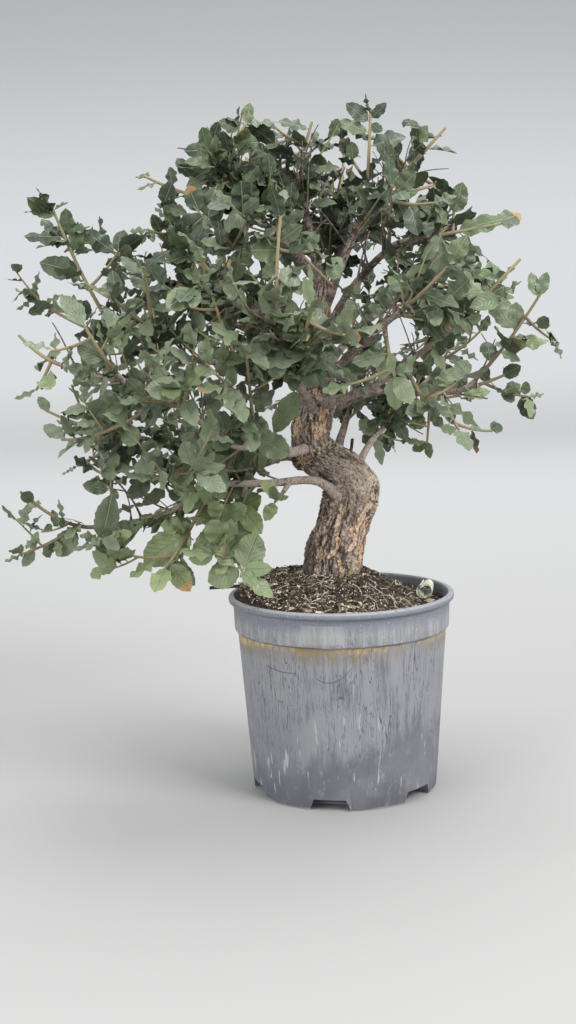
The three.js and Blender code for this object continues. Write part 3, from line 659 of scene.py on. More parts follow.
def dress(piece: Piece, slot: Slot, *nodes: str) -> Piece:
    """Gives a piece its body and the solids that it stands for, and reports it.

    Args:
        piece: the piece.
        slot: not used.
        *nodes: names of the solids.

    Returns:
        The same piece.
    """
    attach(piece, "root")
    if nodes:
        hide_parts(*nodes)
    log.info("%s: %d faces", piece.name, len(piece.data.polygons))
    return piece


def tube(pile: MeshPile, stem: Stem, sides: int, radius: Callable[[float, float], float], finish: int,
         **values: float | Callable[[float], float]) -> None:
    """Adds a round closed tube along a stem.

    Args:
        pile: the mesh to add to.
        stem: its stations.
        sides: faces round it.
        radius: radius in mm for a place from 0 to 1 and an angle.
        finish: material number.
        **values: attribute values, fixed or by place.
    """
    rings = len(stem.stations)
    angles = [math.tau * k / sides for k in range(sides)]
    spots, places = [], []
    for i, station in enumerate(stem.stations):
        place = i / (rings - 1)
        for angle in angles:
            out = station.side * math.cos(angle) + station.cross * math.sin(angle)
            spots.append(station.at + out * radius(place, angle))
            places.append(place)
    faces = [(i * sides + k, i * sides + (k + 1) % sides, (i + 1) * sides + (k + 1) % sides,
              (i + 1) * sides + k) for i in range(rings - 1) for k in range(sides)]
    faces.append(tuple(reversed(range(sides))))
    faces.append(tuple(range((rings - 1) * sides, rings * sides)))
    flat = np.array([(k / sides, places[i * sides + k]) for i in range(rings) for k in range(sides)])
    rows = {key: np.array([value(p) for p in places]) if callable(value) else value
            for key, value in values.items()}
    pile.add(np.array(spots), faces, finish, flat, **rows)


@dataclass
class LeafPress:
    """Shapes fine leaves: an ovate blade with spiny teeth, waved, arched and folded, on a short stalk."""

    ratio: float = 0.55
    edge: float = 0.085
    rib: float = 0.55
    along: tuple[float, ...] = (0, 0.1, 0.17, 0.28, 0.32, 0.42, 0.46, 0.57, 0.61, 0.71, 0.75, 0.86, 0.91, 1)
    width: tuple[float, ...] = (0.05, 0.055, 0.5, 0.89, 0.85, 1.03, 0.96, 1.02, 0.93, 0.9, 0.77, 0.6, 0.4, 0)
    faces: list[tuple[int, ...]] = field(default_factory=list)
    finishes: list[int] = field(default_factory=list)

    def __post_init__(self) -> None:
        """Lists the faces of a blade: left, rib, right and underside rib for each row, then the tip."""
        rows = len(self.along) - 1
        for i in range(0, 4 * rows - 4, 4):
            left, mid, right, under = i, i + 1, i + 2, i + 3
            self.faces += [(left, left + 4, mid + 4, mid), (mid, mid + 4, right + 4, right),
                           (under, under + 4, left + 4, left), (right, right + 4, under + 4, under)]
            self.finishes += [0, 0, 1, 1]
        left, mid, right, under, tip = (4 * rows - 4 + k for k in range(5))
        self.faces += [(left, tip, mid), (mid, tip, right), (under, tip, left), (right, tip, under),
                       (0, 1, 2, 3)]
        self.finishes += [0, 0, 1, 1, 1]
        self.s = np.append(np.repeat(np.array(self.along[:-1]), 4), 1.0)
        self.t = np.append(np.tile(np.array((-1.0, 0, 1, 0)), rows), 0.0)
        self.w = np.append(np.repeat(np.array(self.width[:-1]), 4), 0.0)
        self.below = np.append(np.tile(np.array((0.0, 0, 0, 1)), rows), 0.0)
        self.flat = np.column_stack((0.5 + 0.5 * self.t * np.minimum(self.w, 1), self.s))

    def add(self, pile: MeshPile, site: LeafSite | AimedLeaf, attempt: int, tint: float, fresh: float,
            scorch: float = 0, broad: float = 1) -> None:
        """Adds one leaf.

        Args:
            pile: the mesh to add to.
            site: where it stands.
            attempt: how many faces round the twig it was moved on.
            tint: its shade of green from 0 to 1, a random tone with painted light and shade added.
            fresh: how yellow-green it is from 0 to 1.
            scorch: how brown its tip is from 0 to 1.
            broad: its width against the usual.
        """
        rows, at = site.frame(attempt)
        reach = site.length * 0.93 ** attempt
        half = reach * self.ratio / 2 * broad
        x = self.s * reach
        y = self.t * self.w * half
        envelope = np.clip(self.s * 5 - 0.4, 0, 1) * np.clip((1 - self.s) * 4, 0, 1)
        ripple = np.cos(math.tau * (self.s - 0.27) / 0.37)
        z = self.t * site.wave * reach * self.edge * ripple * envelope
        z = z - site.arch * x * x / reach + 1.25 * site.fold * np.abs(y)
        z = z - self.below * self.rib * (1 - 0.7 * self.s)
        spots = np.column_stack((x, y, z)) @ rows + at
        pile.add(spots, self.faces, self.finishes, self.flat, tint=tint, fresh=fresh, scorch=scorch)


@dataclass
class Foliage:
    """The leafy sprays: each leaf of the solids drawn finely, and smaller leaves and shoots between them."""

    growth: Growth
    press: LeafPress
    finishes: list[Finish]
    leaf_pitch: float = 27
    shoot_pitch: float = 50
    inner_pitch: float = 12.5
    inner_leaf: float = 29
    sides: int = 6
    margin: float = 1
    floor: float = 178
    near: float = 2e-4
    viewer: Point = (-45.1, -1311, 431)
    air: tuple[tuple[float, float, float, float], ...] = (
        (-252, 391, 29, 35), (-188, 262, 40, 17), (-38, 243, 36, 24), (117, 337, 37, 18),
        (107, 289, 27, 27), (159, 504, 17, 26), (-172, 551, 31, 20), (-249, 553, 22, 18),
        (-114, 599, 22, 11), (-25, 592, 36, 13), (108, 579, 14, 20), (-257, 304, 28, 26), (28, 578, 12, 16),
        (62, 578, 9, 16), (135, 525, 18, 26), (-205, 478, 16, 12), (-230, 440, 14, 12), (165, 415, 16, 12),
        (-170, 505, 24, 10), (130, 320, 22, 14),
        (-192, 512, 24, 15), (-252, 472, 14, 8), (-208, 463, 13, 8), (-262, 350, 16, 12), (92, 545, 14, 14),
        (134, 478, 17, 12), (159, 444, 8, 10), (132, 392, 14, 12), (180, 374, 14, 13), (60, 405, 13, 11),
        (-238, 272, 14, 12), (-228, 254, 12, 10), (-184, 204, 12, 14), (-218, 188, 30, 8),
    )
    dense: dict[str, float] = field(default_factory=lambda: {
        "top_mid": 2, "top_left": 3, "front_mid": 2.6, "back_up": 2.2, "left_back": 1.5, "back_left": 2,
        "back_right": 1.5, "left_low": 1.6, "left_mid": 1.4,
    })

    def inside(self, site: LeafSite) -> bool:
        """Whether an added leaf stays within the solids' box and clear of the pot."""
        tip = site.tip(0)
        low, high = np.array(CAD_BOX[0]) / MM, np.array(CAD_BOX[1]) / MM
        if (tip < low - self.margin).any() or (tip > high + self.margin).any() or tip[2] < self.floor:
            return False
        start = site.stem.station(site.place).at
        return not any(self.in_air(spot) for spot in (tip, (tip + start) / 2))

    def in_air(self, spot: Array) -> bool:
        """Whether a point stands in one of the clearings of the crown as it is seen from the front."""
        viewer = np.array(self.viewer)
        flat = viewer + (spot - viewer) * (-viewer[1] / (spot[1] - viewer[1]))
        return any(((flat[0] - x) / wide) ** 2 + ((flat[2] - z) / high) ** 2 < 1
                   for x, z, wide, high in self.air)

    def loose_site(self, stem: Stem, place: float, size: float, draw: Draws, tip: bool = False) -> LeafSite:
        """A smaller leaf at any place and turn on a stem.

        Args:
            stem: the stem.
            place: where on it, from 0 to 1.
            size: the usual length of a leaf in mm.
            draw: the draws.
            tip: whether it points onward, as at a tip.

        Returns:
            The place of the leaf.
        """
        return LeafSite(stem, place, 360 * draw(), draw.between(12, 34) if tip else draw.between(40, 84),
                        size * draw.between(0.62, 1.05), draw.between(-45, 45), draw.between(-0.1, 0.34),
                        draw.between(-0.34, 0.34), draw.between(0.3, 1.3))

    def short_shoot(self, stem: Stem, place: float, draw: Draws) -> Stem:
        """A short side shoot that leaves a stem outwards and upwards.

        Args:
            stem: the stem.
            place: where on it, from 0 to 1.
            draw: the draws.

        Returns:
            The stem of the shoot.
        """
        station = stem.station(place)
        turn, lean = math.tau * draw(), math.radians(draw.between(32, 70))
        out = station.side * math.cos(turn) + station.cross * math.sin(turn)
        along = station.along * math.cos(lean) + out * math.sin(lean)
        along[2] += draw.between(0.0, 0.5)
        reach = draw.between(22, 52)
        end = station.at + unit(along) * reach
        end[2] += draw.between(-2, 9)
        return Stem(Bow(station.at, station.at + unit(along) * reach * 0.55, end), 0, 1, 5)

    def build(self) -> list[Piece]:
        """Builds one piece for each spray, and one for the shoots along each limb."""
        made = [self.build_spray(i, name, spray) for i, (name, spray) in enumerate(SPRAYS.items())]
        limbs = enumerate(self.growth.limbs.items())
        return made + [self.build_inner(i, name, stem) for i, (name, stem) in limbs]

    def build_inner(self, index: int, name: str, stem: Stem) -> Piece:
        """Builds the short leafy shoots that fill the crown along one limb."""
        pile = MeshPile(("tint", "fresh", "scorch", "age"))
        draw = Draws(15485863 + 31337 * index)
        # The leaves of shoots inside the crown get painted shade: 0.3 on the short shoots, 0.45 on the fill
        # shoots.
        for _ in range(round(stem.length / self.inner_pitch * self.dense.get(name, 1))):
            shoot = self.short_shoot(stem, draw.between(0.3, 1), draw)
            self.add_shoot(pile, shoot, self.inner_leaf, 0.3 if name == "left_low" else 0.0, draw, 0.3)
        for end in FILLS.get(name, ()):
            start = min((stem.station(i / 20).at for i in range(7, 21)),
                        key=lambda at: float(np.linalg.norm(at - end)))
            shoot = Stem(Bow(start, (start + end) / 2 + np.array((0, 0, 6.0)), np.array(end, float)), 0, 1, 6)
            self.add_shoot(pile, shoot, self.inner_leaf, 0.0, draw, 0.45)
        self.add_outline(pile, OUTLINE.get(name, ()), [stem], 0.1, Draws(6151 * (index + 90)))
        return dress(pile.piece("inner_shoots_" + name, self.finishes, 62), Slot.FOLIAGE)

    def build_spray(self, index: int, name: str, spray: Spray) -> Piece:
        """Builds one spray.

        Args:
            index: its number in the list.
            name: its name.
            spray: its sizes.

        Returns:
            The dressed piece.
        """
        node = "spray_" + name
        pile = MeshPile(("tint", "fresh", "scorch", "age"))
        draw, loose = Draws(7919 * (index + 1)), Draws(104729 * (index + 3))
        stems = self.growth.stems(spray)
        fresh = PALE_SPRAYS.get(name, 0.0)
        sites = []
        for k, stem in enumerate(stems):
            size, bare, start = (0.9 * spray.leaf, 0, 0.2) if k else (spray.leaf, spray.bare, 0.08)
            sites += solid_sites(stem, size, bare, start, draw)
            girth = 0.85 if k else 1.0
            tube(pile, stem.finer(7), self.sides, lambda p, a, g=girth: g * lerp(1.95, 1.25, p), 2,
                 tint=loose(), age=lambda p: 0.55 - 0.5 * p, fresh=fresh)
            if not k and spray.bare:
                pile.finishes[-1] = 3
        spots = [vertex.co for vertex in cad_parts[node].data.vertices]
        tree = kdtree.KDTree(len(spots))
        for i, spot in enumerate(spots):
            tree.insert(spot, i)
        tree.balance()
        placed = 0
        for site in sites:
            tries = [a for a in range(6) if tree.find(Vector(site.tip(a) * MM))[2] < self.near]
            placed += bool(tries)
            self.add_leaf(pile, site, tries[0] if tries else 0, fresh, loose)
        for k, stem in enumerate(stems):
            end = 1 - (0 if k else spray.bare) / stem.length
            for i in range(round(stem.length * end / self.leaf_pitch) + (2 if end == 1 else 0)):
                place = loose.between(0.9, 0.98) if end == 1 and i < 2 else loose.between(0.08, end)
                site = self.loose_site(stem, place, spray.leaf, loose)
                if self.inside(site):
                    self.add_leaf(pile, site, 0, fresh, loose)
            for _ in range(max(1, round(stem.length * end / self.shoot_pitch))):
                shoot = self.short_shoot(stem, loose.between(0.1, min(end, 0.9)), loose)
                self.add_shoot(pile, shoot, spray.leaf, fresh, loose)
        self.add_outline(pile, OUTLINE.get(name, ()), stems, fresh, Draws(6151 * (index + 2)))
        piece = pile.piece("leafy_" + name, self.finishes, 62)
        log.info("%s: %d of %d solid leaves matched", name, placed, len(sites))
        return dress(piece, Slot.FOLIAGE, node)

    def add_outline(self, pile: MeshPile, leaves: Sequence[Sequence[float]], stems: Sequence[Stem],
                    fresh: float, draw: Draws) -> None:
        """Adds the leaves of the outline, each from the stems' nearest place as the viewer sees it.

        Args:
            pile: the mesh to add to.
            leaves: rows of OUTLINE.
            stems: the stems of the spray.
            fresh: how yellow-green the spray is from 0 to 1.
            draw: the draws.
        """
        spots = [stem.station(i / 30).at for stem in stems for i in range(31)]
        for x, z, to_x, to_z, face, broad, *brown in leaves:
            start = min(spots, key=lambda at: math.hypot(at[0] - x, at[2] - z))
            end = np.array((to_x, start[1] + draw.between(-6, 3), to_z))
            arch, fold, wave = draw.between(0, 0.16), draw.between(-0.2, 0.25), draw.between(0.5, 1.2)
            site = AimedLeaf(start, end, face, arch, fold, wave)
            self.add_leaf(pile, site, 0, fresh, draw, 0, broad, sum(brown))

    def add_leaf(self, pile: MeshPile, site: LeafSite | AimedLeaf, attempt: int, fresh: float, draw: Draws,
                 deep: float = 0, broad: float = 1, brown: float = 0) -> None:
        """Adds one leaf with its own tone and painted light and shade: lighter at the front, darker at the
        top and deep in the crown.

        Args:
            pile: the mesh to add to.
            site: where it stands.
            attempt: how many faces round the twig it was moved on.
            fresh: how yellow-green the spray is from 0 to 1.
            draw: the draws.
            deep: how much painted shade it gets deep in the crown.
            broad: its width against the usual.
            brown: how brown its tip is from 0 to 1.
        """
        own = min(max(fresh + draw.between(-0.25, 0.25) + (0.35 if draw() > 0.93 else 0), 0), 1)
        scorch = draw() if draw() > 0.96 else brown
        _, y, z = site.frame(attempt)[1]
        # Painted light and shade: lighter at the front and low down, darker at the top, and darker still by
        # deep.
        shift = 0.42 * smooth(-y, -60, 90) - 0.9 * smooth(z, 390, 530) + 0.1 * smooth(-z, -350, -230) - deep
        shade = min(max(draw() + shift, 0), 1)
        self.press.add(pile, site, attempt, shade, own, scorch, broad * draw.between(0.84, 1.16))

    def add_shoot(self, pile: MeshPile, shoot: Stem, size: float, fresh: float, draw: Draws,
                  deep: float = 0) -> None:
        """Adds a short shoot with its leaves, where most of them stay inside.

        Args:
            pile: the mesh to add to.
            shoot: its stem.
            size: the usual length of a leaf in mm.
            fresh: how yellow-green it is from 0 to 1.
            draw: the draws.
            deep: how much painted shade its leaves get.
        """
        count = 3 + math.floor(4 * draw())
        sites = [self.loose_site(shoot, (i + 0.9) / (count + 0.9), 0.92 * size, draw, i == count - 1)
                 for i in range(count)]
        kept = [site for site in sites if self.inside(site)]
        if len(kept) < 0.7 * count or not self.inside(sites[-1]):
            return
        tube(pile, shoot, 5, lambda p, a: lerp(1.05, 0.6, p), 2, tint=draw(), age=lambda p: 0.3 - 0.3 * p,
             fresh=fresh)
        for site in kept:
            self.add_leaf(pile, site, 0, fresh, draw, deep)


@dataclass(frozen=True)
class Mark:
    """A patch on the bark: its centre and its reach across and up in mm."""

    at: Point
    across: float
    up: float

    def weight(self, spots: Array) -> Array:
        """How far each point is inside it, from 0 to 1."""
        away = (spots - np.array(self.at)) / np.array((self.across, self.across, self.up))
        share = np.clip((1.15 - np.linalg.norm(away, axis=1)) / 0.5, 0, 1)
        return share * share * (3 - 2 * share)


@dataclass(frozen=True)
class Split:
    """A split that bares fresh cork: its line across and up and its half width in mm, and its side."""

    line: tuple[tuple[float, float], ...]
    half: float
    behind: bool = False

    def weight(self, spots: Array, ragged: Array) -> Array:
        """How far each point is inside it, from 0 to 1.

        Args:
            spots: the points in mm.
            ragged: values round 0 that fray its edges.

        Returns:
            One weight for each point.
        """
        flat, away = spots[:, (0, 2)], np.full(len(spots), np.inf)
        for start, end in zip(self.line, self.line[1:]):
            low, run = np.array(start, float), np.subtract(end, start)
            share = np.clip((flat - low) @ run / (run @ run), 0, 1)
            away = np.minimum(away, np.linalg.norm(flat - low - share[:, None] * run, axis=1))
        facing = spots[:, 1] > 0 if self.behind else spots[:, 1] < 0
        return np.clip((self.half * (1 + 0.7 * ragged) - away) / 0.9, 0, 1) * facing


@dataclass
class Wood:
    """The trunk with its cork bark, the limbs, the old cut and the bare twigs, as one piece."""

    growth: Growth
    finishes: list[Finish]
    sides: int = 190
    rings: int = 350
    buried: float = 0.1
    relief: float = 1.0
    scar: Mark = Mark((-20, -20, 213), 4.6, 9)
    splits: tuple[Split, ...] = (
        Split(((2, 254), (1, 247), (-4.5, 233), (-1.5, 223), (-4, 216), (-10, 211)), 2.5),
        Split(((26, 253), (20, 243), (13, 234), (9, 229)), 3.4), Split(((13, 226), (9, 217)), 2.8),
        Split(((24, 240), (21, 222), (17, 202)), 2.6), Split(((-1, 206), (1, 196), (0, 190)), 2.8),
        Split(((-13, 229), (-16, 220)), 1.5), Split(((-8, 245), (-12, 238)), 1.3),
        Split(((-36, 330), (-36, 318)), 4.2), Split(((-12, 337), (-13, 324), (-16, 317)), 5.0),
        Split(((-24, 340), (-21, 322)), 1.6), Split(((-20, 356), (-14, 347)), 3.0),
        Split(((14, 262), (20, 246), (12, 222)), 3.4, True),
        Split(((-20, 246), (-22, 226), (-14, 206)), 2.6, True),
        Split(((-24, 336), (-20, 318)), 4.0, True), Split(((4, 240), (-2, 214)), 2.2, True),
    )
    sleek: tuple[Mark, ...] = (
        Mark((14, -10, 276), 26, 17), Mark((-6, -16, 288), 18, 9), Mark((-20, 12, 300), 14, 16),
    )
    crust: tuple[Mark, ...] = (
        Mark((31, -8, 268), 11, 26), Mark((-34, -15, 289), 9, 9), Mark((-14, -14, 304), 18, 8),
    )
    twiggy: tuple[str, ...] = ("top_mid", "top_left", "top_right", "front_mid", "back_up", "right_up")

    def build(self) -> Piece:
        """Builds the wood and dresses it."""
        pile = MeshPile(("depth", "fresh", "sleek", "crust", "tint"))
        self.add_trunk(pile)
        for name, limb in LIMBS.items():
            self.add_limb(pile, name, limb)
        self.add_feet(pile)
        self.add_cut(pile)
        self.add_bare_twigs(pile)
        piece = pile.piece("cork_barked_wood", self.finishes, 75)
        return dress(piece, Slot.BARK, "trunk_and_limbs")

    @staticmethod
    def trunk_radius(place: float) -> float:
        """Radius of the trunk at a place from 0 to 1."""
        spot = place * (len(TRUNK) - 1)
        below = min(int(spot), len(TRUNK) - 2)
        return lerp(TRUNK[below][3], TRUNK[below + 1][3], spot - below)

    def add_trunk(self, pile: MeshPile) -> None:
        """Adds the trunk: plates between cracks, furrows that drift round, and splits that bare fresh cork,
        with painted light on the right side and painted shade on the left.

        Args:
            pile: the mesh to add to.
        """
        stem = Stem(Through(TRUNK), self.buried, 1, self.rings)
        angles = np.arange(self.sides) * math.tau / self.sides
        radii = [self.trunk_radius(lerp(self.buried, 1, i / self.rings)) for i in range(self.rings + 1)]
        spots, outs, run = [], [], 0.0
        bark = []
        for i, (station, radius) in enumerate(zip(stem.stations, radii)):
            place = lerp(self.buried, 1, i / self.rings)
            if i:
                run += float(np.linalg.norm(station.at - stem.stations[i - 1].at))
            flare = smooth(225 - station.at[2], 0, 32)
            for angle in angles:
                c, s = math.sin(angle), math.cos(angle)
                turn = math.pi / 2 - angle
                ridge = (0.055 * math.sin(5 * turn + 9 * place) + 0.035 * math.sin(9 * turn - 21 * place)
                         + 0.03 * math.sin(31 * place + 2 * turn))
                root = flare * (0.03 * math.sin(6 * turn + 0.8) + 0.03 * math.sin(11 * turn) - 0.03)
                out = station.side * c + station.cross * s
                outs.append(out)
                spots.append(station.at + out * radius * (1 + ridge + root))
                bark.append(self.bark_at(c, s, run, radius))
        base, outward, bark = np.array(spots), np.array(outs), np.array(bark)
        level, lift, split, grain, fine = bark.T
        sleek = np.max([mark.weight(base) for mark in self.sleek], axis=0)
        scar = self.scar.weight(base)
        crust = np.max([mark.weight(base) for mark in self.crust], axis=0) * np.clip(grain * 4 + 0.4, 0, 1)
        bare = np.max([mark.weight(base, grain + 0.5 * fine) for mark in self.splits], axis=0)
        bare = np.maximum(bare, scar)
        # Painted light: more fresh orange cork shows on the right side, where the light falls.
        painted_light_right = np.clip(outward[:, 0] * 0.8 + 0.1, 0, 1)
        fresh = np.maximum(bare, np.clip(split * 3 - 1.3, 0, 0.5) * (0.35 + painted_light_right) * (1 - sleek))
        rough = (1 - 0.45 * sleek) * (1 - 0.75 * bare) * np.clip(np.repeat(radii, self.sides) / 16, 0.35, 1)
        rise = self.relief * rough * lift + 0.5 * grain + 0.4 * fine + 0.5 * crust - 1.3 * bare
        depth = np.clip(level * (1 - sleek) + sleek * (0.5 + 0.4 * grain + 0.4 * fine), 0, 1)
        depth = depth * (1 - bare) + bare * np.clip(0.6 + 0.5 * fine + 0.5 * grain, 0, 1)
        # Painted shade: the tint is higher on the left side, away from the light, and darkens the bark there.
        shade = np.clip(0.4 - 0.75 * outward[:, 0] + 0.5 * grain, 0, 1)
        sleek *= 0.38
        count = self.sides
        faces = [(i * count + k, (i + 1) * count + k, (i + 1) * count + (k + 1) % count,
                  i * count + (k + 1) % count) for i in range(self.rings) for k in range(count)]
        faces.append(tuple(range(self.sides)))
        faces.append(tuple(reversed(range(self.rings * self.sides, (self.rings + 1) * self.sides))))
        pile.add(base + outward * rise[:, None], faces, 0, depth=depth, fresh=fresh, sleek=sleek, crust=crust,
                 tint=shade)

    def bark_at(self, c: float, s: float, run: float, radius: float) -> tuple[float, ...]:
        """The bark at one point of the trunk.

        Args:
            c: sine of its angle round the trunk.
            s: cosine of its angle.
            run: its way up the trunk in mm.
            radius: the trunk's radius there in mm.

        Returns:
            Depth from 0 in a crack to 1 on a plate, rise in mm, how freshly split it is, grain, finer grain.
        """
        size = 0.55 * radius + 0.45 * 22
        spot = Vector((c * size / 7, s * size / 7, run / 24))
        spot += noise.noise_vector(spot * 1.1) * 0.7 + noise.noise_vector(spot * 3.1) * 0.22
        away, cells = noise.voronoi(spot)
        finer, _ = noise.voronoi(Vector((spot.x * 2.6, spot.y * 2.6, spot.z * 3.4 + 3)))
        gap = away[1] - away[0]
        open_crack = 0.5 + 0.5 * smooth(noise.noise(spot * 0.8 + Vector((9, 0, 0))), -0.3, 0.25)
        crack = 1 - open_crack * (1 - smooth(gap, 0.0, 0.12))
        crack *= 0.6 + 0.4 * smooth(finer[1] - finer[0], 0.0, 0.26)
        plate = 0.5 + 0.5 * noise.noise(cells[0] * 3.7)
        furrow = 1 - abs(noise.noise(Vector((c * size / 6, s * size / 6, run / 52 + 7)))) * 3.4
        furrow = smooth(furrow, 0.5, 1.1)
        grain = noise.fractal(Vector((c * size / 2.2, s * size / 2.2, run / 5)), 0.9, 2.1, 4)
        fine = noise.fractal(Vector((c * size / 0.8, s * size / 0.8, run / 1.2)), 0.9, 2.1, 2)
        level = (0.2 + 0.8 * crack) * (0.5 + 0.4 * plate) * (1 - 0.75 * furrow) + 0.42 * grain + 0.3 * fine
        rise = 1.1 * plate * crack - 1.1 * (1 - crack) - 1.7 * furrow + 0.9 * grain
        split = smooth(gap, 0.05, 0.13) * (1 - smooth(gap, 0.18, 0.32))
        split *= 0.5 + 0.5 * noise.noise(spot * 0.9)
        return min(max(level, 0.0), 1.0), rise, split, grain, fine

    def add_limb(self, pile: MeshPile, name: str, limb: Limb) -> None:
        """Adds a limb whose root swells into the trunk and whose bark is finely wrinkled and knotted."""
        stem = self.growth.limbs[name].finer(2.8)
        shift = len(name) * 7.3
        swell = limb.thick * 0.25

        def radius(place: float, angle: float) -> float:
            """The radius in mm at a place from 0 to 1 and an angle."""
            run = place * stem.length
            around = Vector((math.cos(angle) * 1.1, math.sin(angle) * 1.1, run / 7 + shift))
            wrinkle = noise.fractal(around, 0.8, 2, 3)
            knot = max(0.0, noise.noise(Vector((run / 11, shift, 0.5))) - 0.28)
            base = lerp(limb.thick, limb.thin, place ** 0.7)
            return base * (1 + 0.1 * wrinkle + 0.9 * knot) + swell * math.exp(-max(run - 14, 0) / 7)

        def cloud(place: float, size: float, seed: float) -> float:
            """Noise along the limb, with clouds of a size in mm."""
            return noise.noise(Vector((place * stem.length / size, shift, seed)))

        tube(pile, stem, 11, radius, 0, tint=abs(math.sin(shift)),
             depth=lambda p: 0.3 + 0.4 * limb.grey + 0.3 * cloud(p, 4, 2),
             sleek=lambda p: limb.grey * (1 - 0.3 * p),
             fresh=lambda p: max(0, cloud(p, 9, 5) - 0.25) * (1 - limb.grey))

    def add_feet(self, pile: MeshPile) -> None:
        """Adds the woody foot of each side spray, and a collar where a spray ends a limb."""
        for spray in SPRAYS.values():
            curve = self.growth.main_curve(spray)
            stop = (self.growth.woody if spray.at < 1 else 1.5) / curve.length()
            foot = Stem(curve, 0, stop, 6)
            tube(pile, foot, 8, lambda p, a: lerp(2.35, 2.0, p) + 1.1 * math.exp(-p * 7), 0,
                 depth=0.6, sleek=0.5, tint=0.5)

    def add_cut(self, pile: MeshPile) -> None:
        """Adds the old cut with its healed rim and crusty face, and the dead spur."""
        way = Through(((-14, -2, 301), (-20, -7, 299), (-29, -12, 296), (-38.5, -16.5, 291.5)))
        cut = Stem(way, 0, 1, 30)

        def radius(place: float, angle: float) -> float:
            """The radius in mm at a place from 0 to 1 and an angle."""
            spot = Vector((math.cos(angle) * 1.5, math.sin(angle) * 1.5, place * 4))
            away, _ = noise.voronoi(spot * 1.3)
            crust = 3.2 * smooth(away[1] - away[0], 0, 0.3) + 2.4 * noise.fractal(spot * 1.7, 0.9, 2, 4)
            close = 0.45 + 0.55 * math.sqrt(max(0.0, 1 - (max(place - 0.86, 0) / 0.14) ** 2))
            return (5.2 + 4 * (1 - smooth(place, 0, 0.6)) + crust) * close

        tube(pile, cut, 44, radius, 0, tint=0.7, crust=lambda p: 0.35 * smooth(p, 0.2, 0.5),
             depth=lambda p: 0.3 - 0.6 * smooth(p, 0.9, 1), fresh=lambda p: 0.5 * smooth(p, 0.3, 0.7))
        spur = Stem(Through(((11, 7, 282), (12, 12, 297), (14, 17, 309))), 0, 1, 14)
        tube(pile, spur, 9, lambda p, a: 1.35 + 1.4 * math.exp(-p * 6) + 0.3 * math.sin(3 * a + 17 * p), 0,
             depth=0.1, tint=1)

    def add_bare_twigs(self, pile: MeshPile) -> None:
        """Adds the fine bare twigs inside the crown, some of them forked, each rooted in its limb."""
        draw = Draws(4211)
        for name, stem in self.growth.limbs.items():
            for _ in range(round(stem.length / (7 if name in self.twiggy else 30))):
                station = stem.station(draw.between(0.22 if name in self.twiggy else 0.5, 0.97))
                turn, lean = math.tau * draw(), math.radians(draw.between(35, 80))
                out = station.side * math.cos(turn) + station.cross * math.sin(turn)
                along = unit(station.along * math.cos(lean) + out * math.sin(lean) + np.array((0, 0, 0.35)))
                reach = draw.between(18, 58)
                bow = np.array((draw.between(-5, 5), draw.between(-5, 5), draw.between(-2, 9)))
                curve = Bow(station.at, station.at + along * reach / 2 + bow, station.at + along * reach)
                twig = Stem(curve, 0, 1, max(4, round(reach / 6)))
                girth = draw.between(0.6, 1.15)
                tube(pile, twig, 6,
                     lambda p, a, g=girth: g * (1 - 0.4 * p) + 0.9 * math.exp(-p * reach / 2.5), 0,
                     depth=0.28, tint=draw(), sleek=0.25)
                if draw() > 0.5:
                    side = twig.station(draw.between(0.35, 0.8))
                    away = unit(side.along + side.side * draw.between(-1, 1) + side.cross)
                    end = side.at + away * reach * 0.4
                    fork = Stem(Bow(side.at, (side.at + end) / 2, end), 0, 1, 3)
                    tube(pile, fork, 5, lambda p, a, g=girth: g * (0.7 - 0.25 * p), 0, depth=0.25,
                         tint=draw())


def soil_height(x: float, y: float) -> float:
    """Height of the potting mix in mm at a place on the plan."""
    away = math.hypot(x, y)
    out = min(away / 93.85, 1)
    right = 0.5 + 0.5 * x / max(away, 1)
    lumps = math.sin(x / 8 + 1) * math.sin(y / 9) + 0.6 * math.sin(x / 5 - y / 6)
    return 193 - lerp(17 * out ** 6, 30 * smooth(out, 0.2, 0.85), right) + 1.2 * lumps


def turned(name: str, profile: Sequence[tuple[float, float]], sides: int) -> Piece:
    """Turns a closed solid: a cone frustum whose top is drawn out and drawn in from ring to ring.

    Args:
        name: the object's name.
        profile: radius and height in mm of each ring, from the foot.
        sides: faces round it.

    Returns:
        The object, at the origin.
    """
    (low, start), (high, end) = profile[:2]
    bpy.ops.object.select_all(action="DESELECT")
    bpy.ops.mesh.primitive_cone_add(vertices=sides, radius1=low * MM, radius2=high * MM,
                                    depth=(end - start) * MM, location=(0, 0, (start + end) / 2 * MM))
    piece = bpy.context.object
    piece.name = piece.data.name = name
    settle()
    for item in (*piece.data.vertices, *piece.data.edges):
        item.select = False
    for face in piece.data.polygons:
        face.select = face.normal.z > 0.9
    bpy.ops.object.mode_set(mode="EDIT")
    bpy.ops.mesh.select_mode(type="FACE")
    for (radius, height), (wider, higher) in zip(profile[1:], profile[2:]):
        bpy.ops.mesh.extrude_region_move(TRANSFORM_OT_translate={"value": (0, 0, (higher - height) * MM)})
        share = wider / radius
        bpy.ops.transform.resize(value=(share, share, 1), center_override=(0, 0, higher * MM))
    bpy.ops.mesh.select_all(action="SELECT")
    bpy.ops.mesh.normals_make_consistent(inside=False)
    bpy.ops.object.mode_set(mode="OBJECT")
    return piece


def carve(piece: Piece, tool: Piece) -> None:
    """Cuts a tool out of a piece and deletes the tool."""
    only(piece)
    cut = piece.modifiers.new("cut", "BOOLEAN")
    cut.operation, cut.solver, cut.object = "DIFFERENCE", "EXACT", tool
    bpy.ops.object.modifier_apply(modifier=cut.name)
    bpy.data.objects.remove(tool, do_unlink=True)


